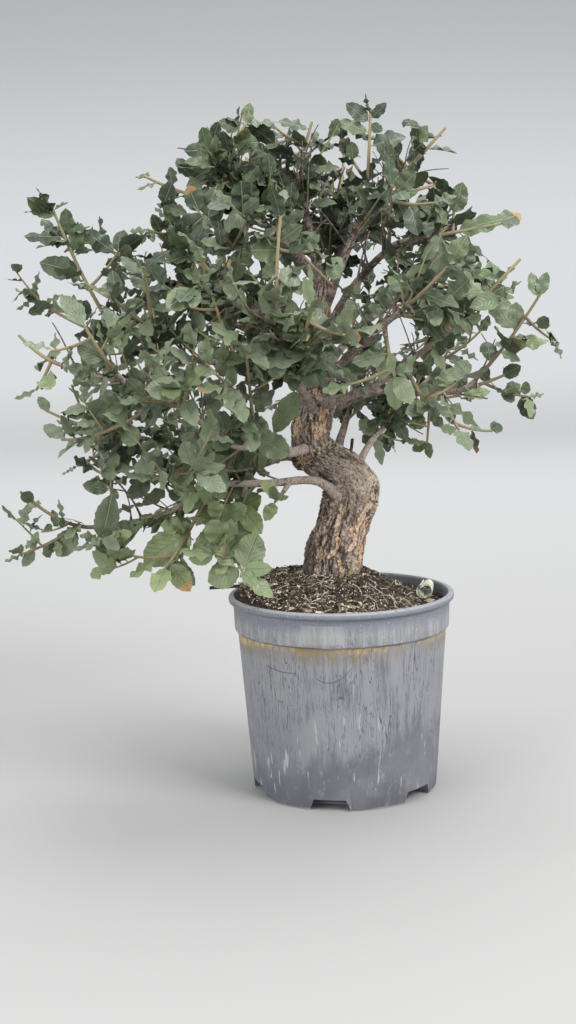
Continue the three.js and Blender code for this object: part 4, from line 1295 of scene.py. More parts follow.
@dataclass
class NurseryPot:
    """The pot: a thin turned shell with a collar, a rolled lip and six drain notches round the foot."""

    finish: Finish
    sides: int = 180
    outside: tuple[tuple[float, float], ...] = (
        (81.3, 0), (82, 0.9), (84.1, 28), (86.2, 57), (88.3, 86), (90.3, 114), (92.2, 139), (92.6, 142.6),
        (93.4, 144.2), (94.8, 145.1), (95.2, 146.4), (95.5, 155), (95.9, 166.8), (96.3, 168.4), (97.4, 169.2),
        (99, 169.5), (99.8, 170.4), (100, 172), (99.8, 173.6), (99, 174.7), (97.8, 175), (60, 175), (4, 175),
    )
    inside: tuple[tuple[float, float], ...] = (
        (79.4, 2.4), (80.4, 3.4), (90.9, 142), (93.6, 145), (94.4, 172), (94.9, 174.2), (96.2, 176.4),
        (60, 177),
    )
    count: int = 6
    first: float = -101.5
    width: float = 28
    flare: float = 4
    height: float = 10
    depth: float = 20
    over: float = 10
    hole: float = 9
    wall: float = 1.6

    def build(self) -> Piece:
        """Builds the pot and dresses it."""
        piece = turned("grey_nursery_pot", self.outside, self.sides)
        cavity = turned("cavity", self.inside, self.sides)
        for i in range(self.count):
            turn = math.radians(self.first + i * 360 / self.count)
            carve(cavity, self.block(turn, self.wall))
            carve(piece, self.block(turn, 0))
        carve(piece, cavity)
        for i in range(self.count):
            carve(piece, self.drain(math.radians(self.first + i * 360 / self.count)))
        coat(piece, self.finish, 38)
        return dress(piece, Slot.POT, "pot")

    def block(self, turn: float, margin: float) -> Piece:
        """The block that cuts one notch, wider at the bottom.

        Args:
            turn: its angle round the pot in radians.
            margin: how much larger it is, in mm.

        Returns:
            The block.
        """
        top, half = self.height + margin, self.width / 2 + margin
        wide = half + self.flare * (top + self.over) / self.height
        low, far = 82 - self.depth - margin, 82 + self.over
        bpy.ops.object.select_all(action="DESELECT")
        middle = ((low + far) / 2 * MM, 0, (top - self.over) / 2 * MM)
        bpy.ops.mesh.primitive_cube_add(size=1, location=middle)
        block = bpy.context.object
        block.scale = ((far - low) * MM, 2 * half * MM, (top + self.over) * MM)
        settle()
        for vertex in block.data.vertices:
            if vertex.co.z < 0:
                vertex.co.y *= wide / half
        block.rotation_euler.z = turn
        settle()
        return block

    def drain(self, turn: float) -> Piece:
        """The square block that cuts one drain hole in the roof of a notch."""
        at = 82 - self.depth + self.hole
        bpy.ops.object.select_all(action="DESELECT")
        bpy.ops.mesh.primitive_cube_add(size=self.hole * MM, location=(at * MM, 0, self.height * MM))
        block = bpy.context.object
        settle()
        block.rotation_euler.z = turn
        settle()
        return block


@dataclass
class PottingMix:
    """The mound of potting mix, and the chips, crumbs, straws and grit that lie on it."""

    ground: Finish
    chip: Finish
    grit: Finish
    sides: int = 150
    rings: int = 44
    chips: int = 4200
    crumbs: int = 1500
    straws: int = 620
    grains: int = 120
    slabs: tuple[tuple[float, float, float], ...] = (
        (-62, -40, 15), (78, -6, 13), (-84, -18, 10), (-88, 6, 9), (20, -84, 9), (-30, -86, 8),
    )

    def build(self) -> list[Piece]:
        """Builds the mound and what lies on it."""
        return [self.build_mound(), self.build_chips(), self.build_straws(), self.build_grit()]

    def build_mound(self) -> Piece:
        """Builds the mound as a turned block whose top rings are raised to the soil's height, with a rough
        top.
        """
        edge = 93.85
        profile = [(80.6, 10), (90.3, 140), (93.2, 146), (93.7, 150)]
        profile += [(edge * (1 - i / self.rings) + 0.4, 300) for i in range(self.rings + 1)]
        piece = turned("potting_mix", profile, self.sides)
        for vertex in piece.data.vertices:
            x, y, z = (value / MM for value in vertex.co)
            if z > 200:
                rough = noise.fractal(Vector((x / 5.5, y / 5.5, 1)), 0.8, 2.1, 4)
                vertex.co.z = (soil_height(x, y) + 1.5 * rough - 0.4) * MM
        coat(piece, self.ground, 80)
        return dress(piece, Slot.SOIL, "soil")

    @staticmethod
    def spot(draw: Draws) -> tuple[float, float, float]:
        """A place on the mound outside the trunk.

        Args:
            draw: the draws.

        Returns:
            The place in mm, and how far round to the right it is, from 0 to 1.
        """
        while True:
            reach, turn = 92.5 * math.sqrt(draw()), math.tau * draw()
            x, y = reach * math.cos(turn), reach * math.sin(turn)
            if math.hypot(x + 8, y) > 26:
                return x, y, smooth(x, -30, 80)

    @staticmethod
    def tilt(draw: Draws, steep: float) -> Array:
        """Three directions, as rows, turned at random and tilted by up to an angle in degrees."""
        turn, lean, way = math.tau * draw(), math.radians(steep * draw()), math.tau * draw()
        up = np.array((math.sin(lean) * math.cos(way), math.sin(lean) * math.sin(way), math.cos(lean)))
        first = np.array((math.cos(turn), math.sin(turn), 0))
        first = unit(first - up * first.dot(up))
        return np.array((first, np.cross(up, first), up))

    @staticmethod
    def corners(draw: Draws, long: float, wide: float, deep: float) -> Array:
        """The corners of an uneven box.

        Args:
            draw: the draws that pull each corner in.
            long: its length in mm.
            wide: its width in mm.
            deep: its height in mm.

        Returns:
            Eight points in mm, one row each, the lower four first.
        """
        return np.array([(sx * long / 2 * draw.between(0.7, 1), sy * wide / 2 * draw.between(0.6, 1), z)
                         for z in (-deep / 2, deep / 2) for sx, sy in ((-1, -1), (1, -1), (1, 1), (-1, 1))])

    def build_chips(self) -> Piece:
        """Builds the bark chips and crumbs: uneven boxes, paler and larger at the front rim."""
        draw = Draws(3301)
        pile = MeshPile(("tint", "dark"))
        faces = ((3, 2, 1, 0), (4, 5, 6, 7), (0, 1, 5, 4), (1, 2, 6, 5), (2, 3, 7, 6), (3, 0, 4, 7))
        for i in range(self.chips + self.crumbs):
            crumb = i >= self.chips
            x, y, right = self.spot(draw)
            cloud = noise.noise(Vector((x / 13, y / 13, 4)))
            bare = smooth(cloud, -0.05, 0.3) * (0.3 + 0.5 * right) + 0.4 * right
            if not crumb and draw() < bare * smooth(-y, 84, 60):
                continue
            front = smooth(-y, 50, 88)
            long = draw.between(0.6, 1.9) + (draw.between(0, 6.5) if draw() < 0.05 + 0.3 * front else 0)
            wide, deep = long * draw.between(0.35, 0.8), draw.between(0.4, 1.1)
            if crumb:
                long, wide, deep = (draw.between(0.9, 3.2) for _ in range(3))
            corners = self.corners(draw, long, wide, deep)
            at = np.array((x, y, soil_height(x, y) + 0.6 + draw.between(-0.3, 1.2)))
            spots = corners @ self.tilt(draw, 75 if crumb else 38) + at
            pile.add(spots, faces, 0, tint=draw(), dark=1.0 if crumb else 0.35 * right * draw())
        for x, y, long in self.slabs:
            corners = self.corners(draw, long, long / 2, 1.6)
            at = np.array((x, y, soil_height(x, y) + 1.8))
            pile.add(corners @ self.tilt(draw, 30) + at, faces, 0, tint=draw(), dark=0.2)
        return dress(pile.piece("bark_chips", [self.chip], 20), Slot.SOIL)

    def build_straws(self) -> Piece:
        """Builds the straw curls and rootlets."""
        draw = Draws(911)
        pile = MeshPile(("tint", "dark"))
        for _ in range(self.straws):
            x, y, right = self.spot(draw)
            turn, reach = math.tau * draw(), draw.between(5, 20)
            ends = [(x + k * reach / 2 * math.cos(turn), y + k * reach / 2 * math.sin(turn)) for k in (-1, 1)]
            if max(math.hypot(*end) for end in ends) > 91:
                continue
            start, end = (np.array((a, b, soil_height(a, b) + 0.8)) for a, b in ends)
            bow = np.array((draw.between(-6, 6), draw.between(-6, 6), draw.between(0.5, 5)))
            straw = Stem(Bow(start, (start + end) / 2 + bow, end), 0, 1, 7)
            girth = draw.between(0.22, 0.5)
            tube(pile, straw, 4, lambda p, a, g=girth: g * (1 - 0.35 * p), 0, tint=draw(), dark=0.6 * draw())
        return dress(pile.piece("straw_and_rootlets", [self.chip], 60), Slot.SOIL)

    def build_grit(self) -> Piece:
        """Builds the white grit: one pebble from an icosphere, copied to each place with its own mesh."""
        draw = Draws(577)
        bpy.ops.object.select_all(action="DESELECT")
        bpy.ops.mesh.primitive_ico_sphere_add(subdivisions=1, radius=1)
        pebble = bpy.context.object
        shape = np.array([vertex.co[:] for vertex in pebble.data.vertices])
        faces = [tuple(face.vertices) for face in pebble.data.polygons]
        bpy.data.objects.remove(pebble, do_unlink=True)
        pile = MeshPile(("tint", "dark"))
        for _ in range(self.grains):
            x, y, _ = self.spot(draw)
            size = draw.between(0.5, 1.25)
            uneven = np.array([[draw.between(0.75, 1.15)] for _ in shape])
            at = np.array((x, y, soil_height(x, y) + 1.1))
            pile.add(shape * uneven * size @ self.tilt(draw, 90) + at, faces, 0, tint=draw(), dark=0)
        return dress(pile.piece("white_grit", [self.grit], 60), Slot.SOIL)


@dataclass
class Stick:
    """The bare black stick that pokes out of the mound over the rim."""

    finish: Finish
    start: Point = (-117, 4, 180.5)
    end: Point = (-38, 12, 182)
    radius: float = 1.5

    def build(self) -> Piece:
        """Builds the stick and dresses it."""
        start, end = Vector(self.start) * MM, Vector(self.end) * MM
        bpy.ops.object.select_all(action="DESELECT")
        bpy.ops.mesh.primitive_cylinder_add(vertices=24, radius=self.radius * MM, depth=(end - start).length,
                                            location=(start + end) / 2,
                                            rotation=(end - start).to_track_quat("Z", "Y").to_euler())
        piece = bpy.context.object
        piece.name = piece.data.name = "black_stick"
        settle()
        edge = piece.modifiers.new("edge", "BEVEL")
        edge.width, edge.segments, edge.limit_method = 0.3 * MM, 2, "ANGLE"
        bpy.ops.object.modifier_apply(modifier=edge.name)
        coat(piece, self.finish, 40)
        return dress(piece, Slot.STICK, "stick")


@dataclass
class CurledLeaf:
    """The dead leaf that has rolled itself into an open tube, with ragged ends."""

    finish: Finish
    at: Point = (75, 3, 172.5)
    length: float = 20
    radius: float = 7.2
    turns: float = 1.35
    turn: float = -12
    tilt: float = 6

    def build(self) -> Piece:
        """Rolls a grid into a spiral, thickens it and dresses it."""
        bpy.ops.object.select_all(action="DESELECT")
        bpy.ops.mesh.primitive_grid_add(x_subdivisions=60, y_subdivisions=16, size=2, calc_uvs=True)
        piece = bpy.context.object
        piece.name = piece.data.name = "rolled_dead_leaf"
        turn, tilt = math.radians(self.turn), math.radians(self.tilt)
        for vertex in piece.data.vertices:
            across, along = (vertex.co.x + 1) / 2, (vertex.co.y + 1) / 2
            ragged = 1 + 0.09 * math.sin(across * 23) * (2 * along - 1) + 0.05 * math.sin(across * 51 + 1)
            angle = math.tau * self.turns * across + 2.2
            reach = (self.radius - 2.2 * across - 1.4 * along) * (1 + 0.09 * math.sin(2 * angle + 0.7))
            y = self.length * (0.5 + (along - 0.5) * ragged)
            x, z = reach * math.cos(angle), reach * math.sin(angle)
            y, z = y * math.cos(tilt) - z * math.sin(tilt), y * math.sin(tilt) + z * math.cos(tilt)
            spot = (x * math.cos(turn) - y * math.sin(turn), x * math.sin(turn) + y * math.cos(turn), z)
            vertex.co = (Vector(self.at) + Vector(spot)) * MM
        only(piece)
        body = piece.modifiers.new("body", "SOLIDIFY")
        body.thickness, body.offset = 1.1 * MM, 0
        bpy.ops.object.modifier_apply(modifier=body.name)
        coat(piece, self.finish, 60)
        return dress(piece, Slot.DRY_LEAF, "curled_leaf")


class Paint:
    """Builds one procedural material, node by node."""

    def __init__(self, name: str, rough: float = 0.7) -> None:
        """Starts a material with a roughness."""
        self.material = bpy.data.materials.new(name)
        self.material.use_nodes = True
        self.tree = self.material.node_tree
        self.shader = self.tree.nodes["Principled BSDF"]
        self.shader.inputs["Roughness"].default_value = rough

    def node(self, kind: str, **settings: object) -> bpy.types.Node:
        """Adds a node with its settings."""
        made = self.tree.nodes.new(kind)
        for key, value in settings.items():
            setattr(made, key, value)
        return made

    def feed(self, socket: Socket, value: object) -> None:
        """Links a socket to another, or sets its value."""
        if isinstance(value, Socket):
            self.tree.links.new(value, socket)
        elif isinstance(value, tuple) and len(value) == 3 and socket.type == "RGBA":
            socket.default_value = (*value, 1)
        else:
            socket.default_value = value

    def coords(self, scale: Color = (1, 1, 1), turn: Color = (0, 0, 0), kind: str = "Object") -> Socket:
        """The piece's coordinates, scaled and turned."""
        place = self.node("ShaderNodeMapping")
        self.feed(place.inputs["Vector"], self.node("ShaderNodeTexCoord").outputs[kind])
        place.inputs["Scale"].default_value = scale
        place.inputs["Rotation"].default_value = turn
        return place.outputs["Vector"]

    def round_wall(self, radius: float, rise: float) -> Socket:
        """Coordinates that stay alike up a wall that tapers round the Z axis.

        Args:
            radius: the radius in metres that stands for the wall's own.
            rise: the share of the height that still counts.

        Returns:
            The coordinates.
        """
        way = self.node("ShaderNodeVectorMath", operation="NORMALIZE")
        self.feed(way.inputs[0], self.coords((1, 1, 0)))
        made = self.node("ShaderNodeVectorMath", operation="MULTIPLY_ADD")
        terms = (way.outputs[0], (radius, radius, radius), self.coords((0, 0, rise)))
        for socket, value in zip(made.inputs, terms):
            self.feed(socket, value)
        return made.outputs[0]

    def parts(self, vector: Socket) -> tuple[Socket, ...]:
        """The X, Y and Z of a vector."""
        split = self.node("ShaderNodeSeparateXYZ")
        self.feed(split.inputs[0], vector)
        return tuple(split.outputs)

    def attribute(self, name: str) -> Socket:
        """A value that the mesh carries."""
        return self.node("ShaderNodeAttribute", attribute_name=name).outputs["Fac"]

    def noise(self, vector: Socket, scale: float, detail: float = 4, rough: float = 0.55,
              warp: float = 0) -> Socket:
        """Cloudy noise from 0 to 1.

        Args:
            vector: the coordinates.
            scale: clouds in a metre.
            detail: how many finer layers there are.
            rough: how strong these are.
            warp: how far the clouds are bent.

        Returns:
            The noise.
        """
        made = self.node("ShaderNodeTexNoise")
        self.feed(made.inputs["Vector"], vector)
        for key, value in (("Scale", scale), ("Detail", detail), ("Roughness", rough), ("Distortion", warp)):
            made.inputs[key].default_value = value
        return made.outputs["Fac"]

    def math(self, operation: str, *values: object, clamp: bool = False) -> Socket:
        """A sum, product or other operation on numbers."""
        made = self.node("ShaderNodeMath", operation=operation, use_clamp=clamp)
        for socket, value in zip(made.inputs, values):
            self.feed(socket, value)
        return made.outputs[0]

    def plus(self, first: object, second: object) -> Socket:
        """The sum of two numbers."""
        return self.math("ADD", first, second)

    def away(self, value: object, middle: object) -> Socket:
        """How far a value is from a middle, whichever side it is on."""
        return self.math("ABSOLUTE", self.math("SUBTRACT", value, middle))

    def times(self, first: object, *more: object) -> Socket:
        """The product of several numbers."""
        for value in more:
            first = self.math("MULTIPLY", first, value)
        return first

    def band(self, value: object, low: float, high: float) -> Socket:
        """Smooth step of a value. It falls where low is the larger.

        Args:
            value: the value.
            low: where it is 0.
            high: where it is 1.

        Returns:
            The share from 0 to 1.
        """
        made = self.node("ShaderNodeMapRange", interpolation_type="SMOOTHSTEP")
        rising = low < high
        settings = (value, min(low, high), max(low, high), 0.0 if rising else 1.0, 1.0 if rising else 0.0)
        for socket, setting in zip(made.inputs, settings):
            self.feed(socket, setting)
        return made.outputs[0]

    def zone(self, *steps: tuple[object, float, float]) -> Socket:
        """The product of several smooth steps, each with its value, low and high."""
        return self.times(*(self.band(*step) for step in steps))

    def ramp(self, value: Socket, *stops: tuple[float, Color]) -> Socket:
        """A colour for each value."""
        made = self.node("ShaderNodeValToRGB")
        self.feed(made.inputs[0], value)
        made.color_ramp.elements.remove(made.color_ramp.elements[1])
        for i, (place, color) in enumerate(stops):
            stop = made.color_ramp.elements[0] if i == 0 else made.color_ramp.elements.new(place)
            stop.position, stop.color = place, (*color, 1)
        return made.outputs["Color"]

    def mix(self, share: object, first: object, second: object, blend: str = "MIX") -> Socket:
        """One colour laid over another by a share.

        Args:
            share: how much of the second shows.
            first: the colour below.
            second: the colour above.
            blend: how they combine.

        Returns:
            The colour.
        """
        made = self.node("ShaderNodeMix", data_type="RGBA", blend_type=blend)
        self.feed(made.inputs["Factor"], share)
        self.feed(made.inputs[6], first)
        self.feed(made.inputs[7], second)
        return made.outputs[2]

    def bump(self, height: Socket, strength: float, reach: float) -> None:
        """Fine relief, reach in metres."""
        made = self.node("ShaderNodeBump")
        made.inputs["Strength"].default_value = strength
        made.inputs["Distance"].default_value = reach
        self.feed(made.inputs["Height"], height)
        self.feed(self.shader.inputs["Normal"], made.outputs[0])

    def done(self, color: object, rough: object | None = None) -> Finish:
        """Sets the colour and, where it varies, the roughness, and gives the material."""
        self.feed(self.shader.inputs["Base Color"], color)
        if rough is not None:
            self.feed(self.shader.inputs["Roughness"], rough)
        return self.material


@dataclass(frozen=True)
class WeatheredPlastic:
    """Bleached slate grey plastic: crazed above, scuffed smooth lower down, and rusty under the collar, with
    a painted shadow under the collar's ledge and painted shade low on the left.
    """

    slate_and_shade: Color = (0.12, 0.127, 0.155)
    pale: Color = (0.25, 0.252, 0.268)
    bleached: Color = (0.43, 0.43, 0.43)
    crazed_and_shadow: Color = (0.065, 0.07, 0.095)
    scuffed: Color = (0.115, 0.12, 0.14)
    rust: Color = (0.48, 0.36, 0.18)
    olive: Color = (0.2, 0.15, 0.085)

    def make(self) -> Finish:
        """Makes the material."""
        paint = Paint("weathered slate plastic", 0.62)
        x, y, z = paint.parts(paint.coords())
        cloud = paint.noise(paint.coords(), 22, 5, 0.6)
        streak = paint.noise(paint.coords((1, 1, 0.07)), 170, 6, 0.75)
        base = self.wall(paint, x, z, cloud, streak)
        base = self.scratches(paint, base, x, y, z)
        base = self.stains(paint, base, x, y, z)
        base = paint.mix(paint.band(z, 0.1435, 0.1455), base, self.collar(paint, x, y, z, cloud, streak))
        # Painted shadow: a dark line under the collar's ledge, patchy round the pot, in the crazing colour.
        shadow = paint.zone((z, 0.1432, 0.1448), (z, 0.1462, 0.145), (cloud, 0.62, 0.42))
        base = paint.mix(paint.times(shadow, 0.8), base, self.crazed_and_shadow)
        foot = paint.plus(z, paint.times(cloud, 0.006))
        base = paint.mix(paint.times(paint.band(foot, 0.0048, 0.003), 0.8), base, self.bleached)
        speck = paint.noise(paint.coords(), 950, 2, 0.5)
        paint.bump(paint.plus(paint.times(streak, 0.5), paint.times(speck, 0.4)), 0.35, 0.0006)
        return paint.done(base, paint.plus(paint.times(cloud, 0.35), 0.42))

    def wall(self, paint: Paint, x: Socket, z: Socket, cloud: Socket,
             streak: Socket) -> Socket:
        """The wall's tones: pale fibres and dark crazing above, smooth scuffed plastic below, and painted
        shade low on the left.
        """
        tone = paint.plus(paint.times(streak, 0.75), paint.times(cloud, 0.4))
        base = paint.mix(paint.band(tone, 0.38, 0.6), self.slate_and_shade, self.pale)
        fibre = paint.band(paint.noise(paint.round_wall(0.095, 0.06), 620, 3, 0.7), 0.55, 0.66)
        base = paint.mix(paint.times(fibre, 0.3), base, (0.36, 0.365, 0.38))
        patches = paint.noise(paint.coords((1, 1, 0.4)), 26, 3, 0.6)
        for scale, width, low, share in ((170, 0.012, 0.42, 0.85), (340, 0.015, 0.38, 0.8),
                                         (520, 0.018, 0.36, 0.6)):
            line = paint.noise(paint.round_wall(0.095, 0.08), scale, 1, 0.4, 0.1)
            line = paint.band(paint.away(line, 0.5), width, width * 0.3)
            shown = paint.times(line, paint.band(patches, low, low + 0.16), share)
            base = paint.mix(shown, base, self.crazed_and_shadow)
        ragged = paint.noise(paint.coords((1, 1, 0.2)), 60, 4, 0.65)
        edge = paint.plus(paint.plus(z, paint.times(x, -0.28)), paint.times(ragged, 0.05))
        smooth_share = paint.band(edge, 0.084, 0.064)
        worn = paint.times(paint.band(cloud, 0.42, 0.68), 0.75)
        scuff = paint.mix(worn, self.scuffed, (0.19, 0.196, 0.212))
        rub = paint.noise(paint.coords((1, 1, 0.5), (0, 0.5, 0)), 130, 5, 0.7)
        scuff = paint.mix(paint.times(paint.band(rub, 0.54, 0.72), 0.55), scuff, (0.32, 0.33, 0.345))
        base = paint.mix(paint.times(smooth_share, 0.88), base, scuff)
        # Painted shade: the lower wall on the left darkens to slate.
        painted_shade_low_left = paint.times(paint.zone((z, 0.11, 0.05), (x, -0.02, -0.06)), 0.35)
        return paint.mix(painted_shade_low_left, base, self.slate_and_shade)

    def scratches(self, paint: Paint, base: Socket, x: Socket, y: Socket,
                  z: Socket) -> Socket:
        """Two dark curved scratches high on the front, and short pale nicks all over the lower wall."""
        for at, height, bow, low, high in ((-0.015, 0.1145, 34.0, -0.027, 0.008),
                                           (-0.05, 0.121, 12.0, -0.068, -0.04)):
            way = paint.math("SUBTRACT", x, at)
            curve = paint.plus(paint.times(way, way, bow), height)
            near = paint.band(paint.away(z, curve), 0.0007, 0.0002)
            span = paint.zone((x, low, low + 0.003), (x, high, high - 0.006))
            base = paint.mix(paint.times(near, span, paint.band(y, 0, -0.01), 0.8), base, self.crazed_and_shadow)
        for turn, scale in ((0.75, 260), (-0.5, 330)):
            nick = paint.noise(paint.coords((1, 1, 0.14), (0, turn, 0)), scale, 2, 0.4)
            nick = paint.times(paint.band(nick, 0.69, 0.74), paint.band(z, 0.12, 0.06), 0.75)
            base = paint.mix(nick, base, self.bleached)
        return base

    def stains(self, paint: Paint, base: Socket, x: Socket, y: Socket,
               z: Socket) -> Socket:
        """The golden line of rust under the collar, with olive runs below it."""
        ring = paint.noise(paint.coords((1, 1, 0.1)), 26, 4, 0.6)
        blot = paint.zone((x, -0.047, -0.038), (x, -0.004, -0.014), (y, 0, -0.02))
        left = paint.zone((x, -0.062, -0.074), (y, 0, -0.02))
        ring = paint.plus(ring, paint.times(paint.math("MAXIMUM", blot, left), 0.25))
        ragged = paint.noise(paint.coords((1, 1, 0.5)), 240, 5, 0.75)
        drip = paint.plus(z, paint.times(ragged, 0.02))
        runs = paint.zone((drip, 0.136, 0.151), (ring, 0.44, 0.62), (ragged, 0.28, 0.54))
        base = paint.mix(paint.times(runs, 0.85), base, self.olive)
        gold = paint.plus(z, paint.times(paint.plus(ragged, ring), 0.012))
        line = paint.zone((gold, 0.149, 0.157), (ring, 0.4, 0.56), (ragged, 0.36, 0.6))
        base = paint.mix(paint.times(line, 0.95), base, self.rust)
        brown = paint.times(blot, paint.band(drip, 0.14, 0.155), paint.band(ragged, 0.4, 0.52))
        return paint.mix(paint.times(brown, 0.75), base, self.olive)

    def collar(self, paint: Paint, x: Socket, y: Socket, z: Socket,
               cloud: Socket, streak: Socket) -> Socket:
        """The collar: dark and speckled above, paler below, with the pale ghost of a torn-off label."""
        speck = paint.noise(paint.coords(), 850, 2, 0.5)
        level = paint.plus(z, paint.times(cloud, 0.012))
        below = paint.mix(paint.band(streak, 0.4, 0.66), (0.215, 0.22, 0.235), (0.34, 0.34, 0.345))
        tone = paint.mix(paint.band(level, 0.171, 0.16), (0.185, 0.192, 0.224), below)
        lines = paint.noise(paint.coords((1, 1, 0.2)), 380, 2, 0.5)
        lines = paint.band(paint.away(lines, 0.5), 0.022, 0.006)
        tone = paint.mix(paint.times(lines, paint.band(cloud, 0.4, 0.6), 0.6), tone, self.crazed_and_shadow)
        tone = paint.mix(paint.times(paint.band(speck, 0.66, 0.72), 0.75), tone, (0.55, 0.55, 0.56))
        patch = paint.zone((x, -0.038, -0.036), (x, 0.0, -0.003), (y, 0.0, -0.02), (z, 0.147, 0.149),
                           (z, 0.1645, 0.1635))
        strokes = paint.noise(paint.coords((1, 1, 0.08)), 420, 3, 0.6)
        label = paint.mix(paint.band(strokes, 0.42, 0.6), (0.3, 0.3, 0.3), (0.42, 0.418, 0.41))
        tone = paint.mix(paint.times(patch, 0.45), tone, label)
        lip = paint.times(paint.band(z, 0.1728, 0.1746), paint.band(streak, 0.32, 0.5), 0.6)
        return paint.mix(lip, tone, self.bleached)


@dataclass(frozen=True)
class CorkBark:
    """Grey-brown cork with dark cracks, tan and orange where it has split, smooth taupe on young wood, with
    painted warm light and painted shade laid on by the tint.
    """

    crack: Color = (0.03, 0.022, 0.018)
    shade: Color = (0.165, 0.125, 0.103)
    plate: Color = (0.38, 0.3, 0.252)
    crest: Color = (0.68, 0.555, 0.46)
    orange: Color = (0.5, 0.28, 0.145)
    tan: Color = (0.6, 0.44, 0.31)
    taupe: Color = (0.54, 0.46, 0.405)
    flake: Color = (0.66, 0.54, 0.38)

    def make(self) -> Finish:
        """Makes the material."""
        paint = Paint("cork bark", 0.9)
        place = paint.coords((1, 1, 0.45))
        depth, fresh, sleek = (paint.attribute(name) for name in ("depth", "fresh", "sleek"))
        crust, tint = paint.attribute("crust"), paint.attribute("tint")
        grain = paint.noise(place, 620, 6, 0.75)
        cloud = paint.noise(place, 95, 4, 0.6)
        granule = paint.noise(paint.coords(), 470, 3, 0.6)
        level = paint.plus(depth, paint.times(paint.math("SUBTRACT", grain, 0.5), 0.8))
        level = paint.plus(level, paint.times(paint.math("SUBTRACT", granule, 0.5), 1.5))
        base = paint.ramp(level, (0.04, self.crack), (0.28, self.shade), (0.6, self.plate),
                          (0.98, self.crest))
        warm = paint.band(paint.noise(paint.coords((1, 1, 0.5)), 60, 3, 0.6), 0.5, 0.66)
        base = paint.mix(paint.times(warm, 0.4), base, (0.26, 0.18, 0.125))
        skin = paint.ramp(paint.plus(paint.times(cloud, 0.5), paint.times(grain, 0.5)),
                          (0.32, (0.17, 0.14, 0.12)), (0.5, self.taupe), (0.7, (0.6, 0.52, 0.45)))
        veins = paint.band(paint.noise(paint.coords((1, 1, 2.2)), 330, 4, 0.65, 1.2), 0.62, 0.7)
        skin = paint.mix(paint.times(veins, 0.55), skin, self.shade)
        skin = paint.mix(paint.times(paint.band(granule, 0.45, 0.38), 0.7), skin, self.shade)
        skin = paint.mix(paint.times(paint.band(granule, 0.56, 0.64), 0.5), skin, self.flake)
        base = paint.mix(paint.times(sleek, paint.band(depth, 0.15, 0.5), 0.9), base, skin)
        # Painted light: a warm glow where the tint is low, which on the trunk is its right side.
        lit = paint.times(paint.band(tint, 0.3, 0.02), paint.band(cloud, 0.38, 0.6), 0.45)
        base = paint.mix(lit, base, (0.42, 0.33, 0.21))
        # Painted shade: darker where the tint is high, which on the trunk is its left side; on limbs, feet,
        # the cut and twigs the tint is a set or random tone.
        base = paint.mix(paint.times(tint, 0.4), base, (0.6, 0.57, 0.58), "MULTIPLY")
        bare = paint.ramp(level, (0.1, (0.1, 0.058, 0.038)), (0.4, self.orange), (0.72, self.tan),
                          (1.0, (0.8, 0.64, 0.5)))
        rim = paint.times(paint.band(fresh, 0.02, 0.2), paint.band(fresh, 0.75, 0.4), 0.8)
        base = paint.mix(rim, base, self.crack)
        base = paint.mix(paint.times(paint.band(fresh, 0.25, 0.8), paint.band(level, 0.02, 0.25)), base, bare)
        base = paint.mix(paint.times(crust, paint.band(granule, 0.44, 0.54), 0.85), base, self.flake)
        paint.bump(paint.plus(paint.plus(grain, granule), paint.times(cloud, 0.6)), 0.9, 0.0014)
        return paint.done(base)


@dataclass(frozen=True)
class LeafSkin:
    """A leaf's face: grey-green with fine paler veins, yellow-green when young, brown where scorched, with
    the painted light and shade of its tint and a painted sheen paler towards the edges.
    """

    name: str
    deep: Color
    mid: Color
    light: Color
    vein: Color
    veins: float
    rough: float
    shine: float

    def make(self) -> Finish:
        """Makes the material."""
        paint = Paint(self.name, self.rough)
        tint, fresh, scorch = (paint.attribute(name) for name in ("tint", "fresh", "scorch"))
        across, along, _ = paint.parts(paint.coords(kind="UV"))
        side = paint.away(across, 0.5)
        cloud = paint.noise(paint.coords(), 160, 4, 0.6)
        # The tint carries each leaf's own tone and its painted light and shade.
        level = paint.plus(paint.times(tint, 0.8), paint.times(cloud, 0.4))
        # Painted sheen: the blade is paler towards its edges.
        level = paint.plus(level, paint.times(paint.band(side, 0.04, 0.44), 0.16))
        base = paint.ramp(level, (0.2, self.deep), (0.6, self.mid), (1.0, self.light))
        base = paint.mix(paint.times(fresh, 0.85), base, (0.3, 0.37, 0.15))
        rib = paint.band(side, 0.038, 0.012)
        slant = paint.math("SUBTRACT", along, paint.times(side, 0.75))
        wave = paint.math("ABSOLUTE", paint.math("SINE", paint.times(slant, 24.0)))
        web = paint.times(paint.band(wave, 0.3, 0.05), paint.band(side, 0.5, 0.36), 0.45)
        veins = paint.math("MAXIMUM", rib, web)
        base = paint.mix(paint.times(veins, self.veins), base, self.vein)
        burn = paint.plus(along, paint.times(cloud, 0.3))
        base = paint.mix(paint.times(scorch, paint.band(burn, 0.85, 0.95)), base, (0.38, 0.23, 0.1))
        spots = paint.times(paint.band(paint.noise(paint.coords(), 420, 2, 0.5), 0.72, 0.76), 0.5)
        base = paint.mix(spots, base, (0.2, 0.14, 0.06))
        paint.bump(paint.math("SUBTRACT", paint.times(cloud, 0.6), veins), 0.75, 0.0012)
        paint.shader.inputs["Specular IOR Level"].default_value = self.shine
        return paint.done(base)


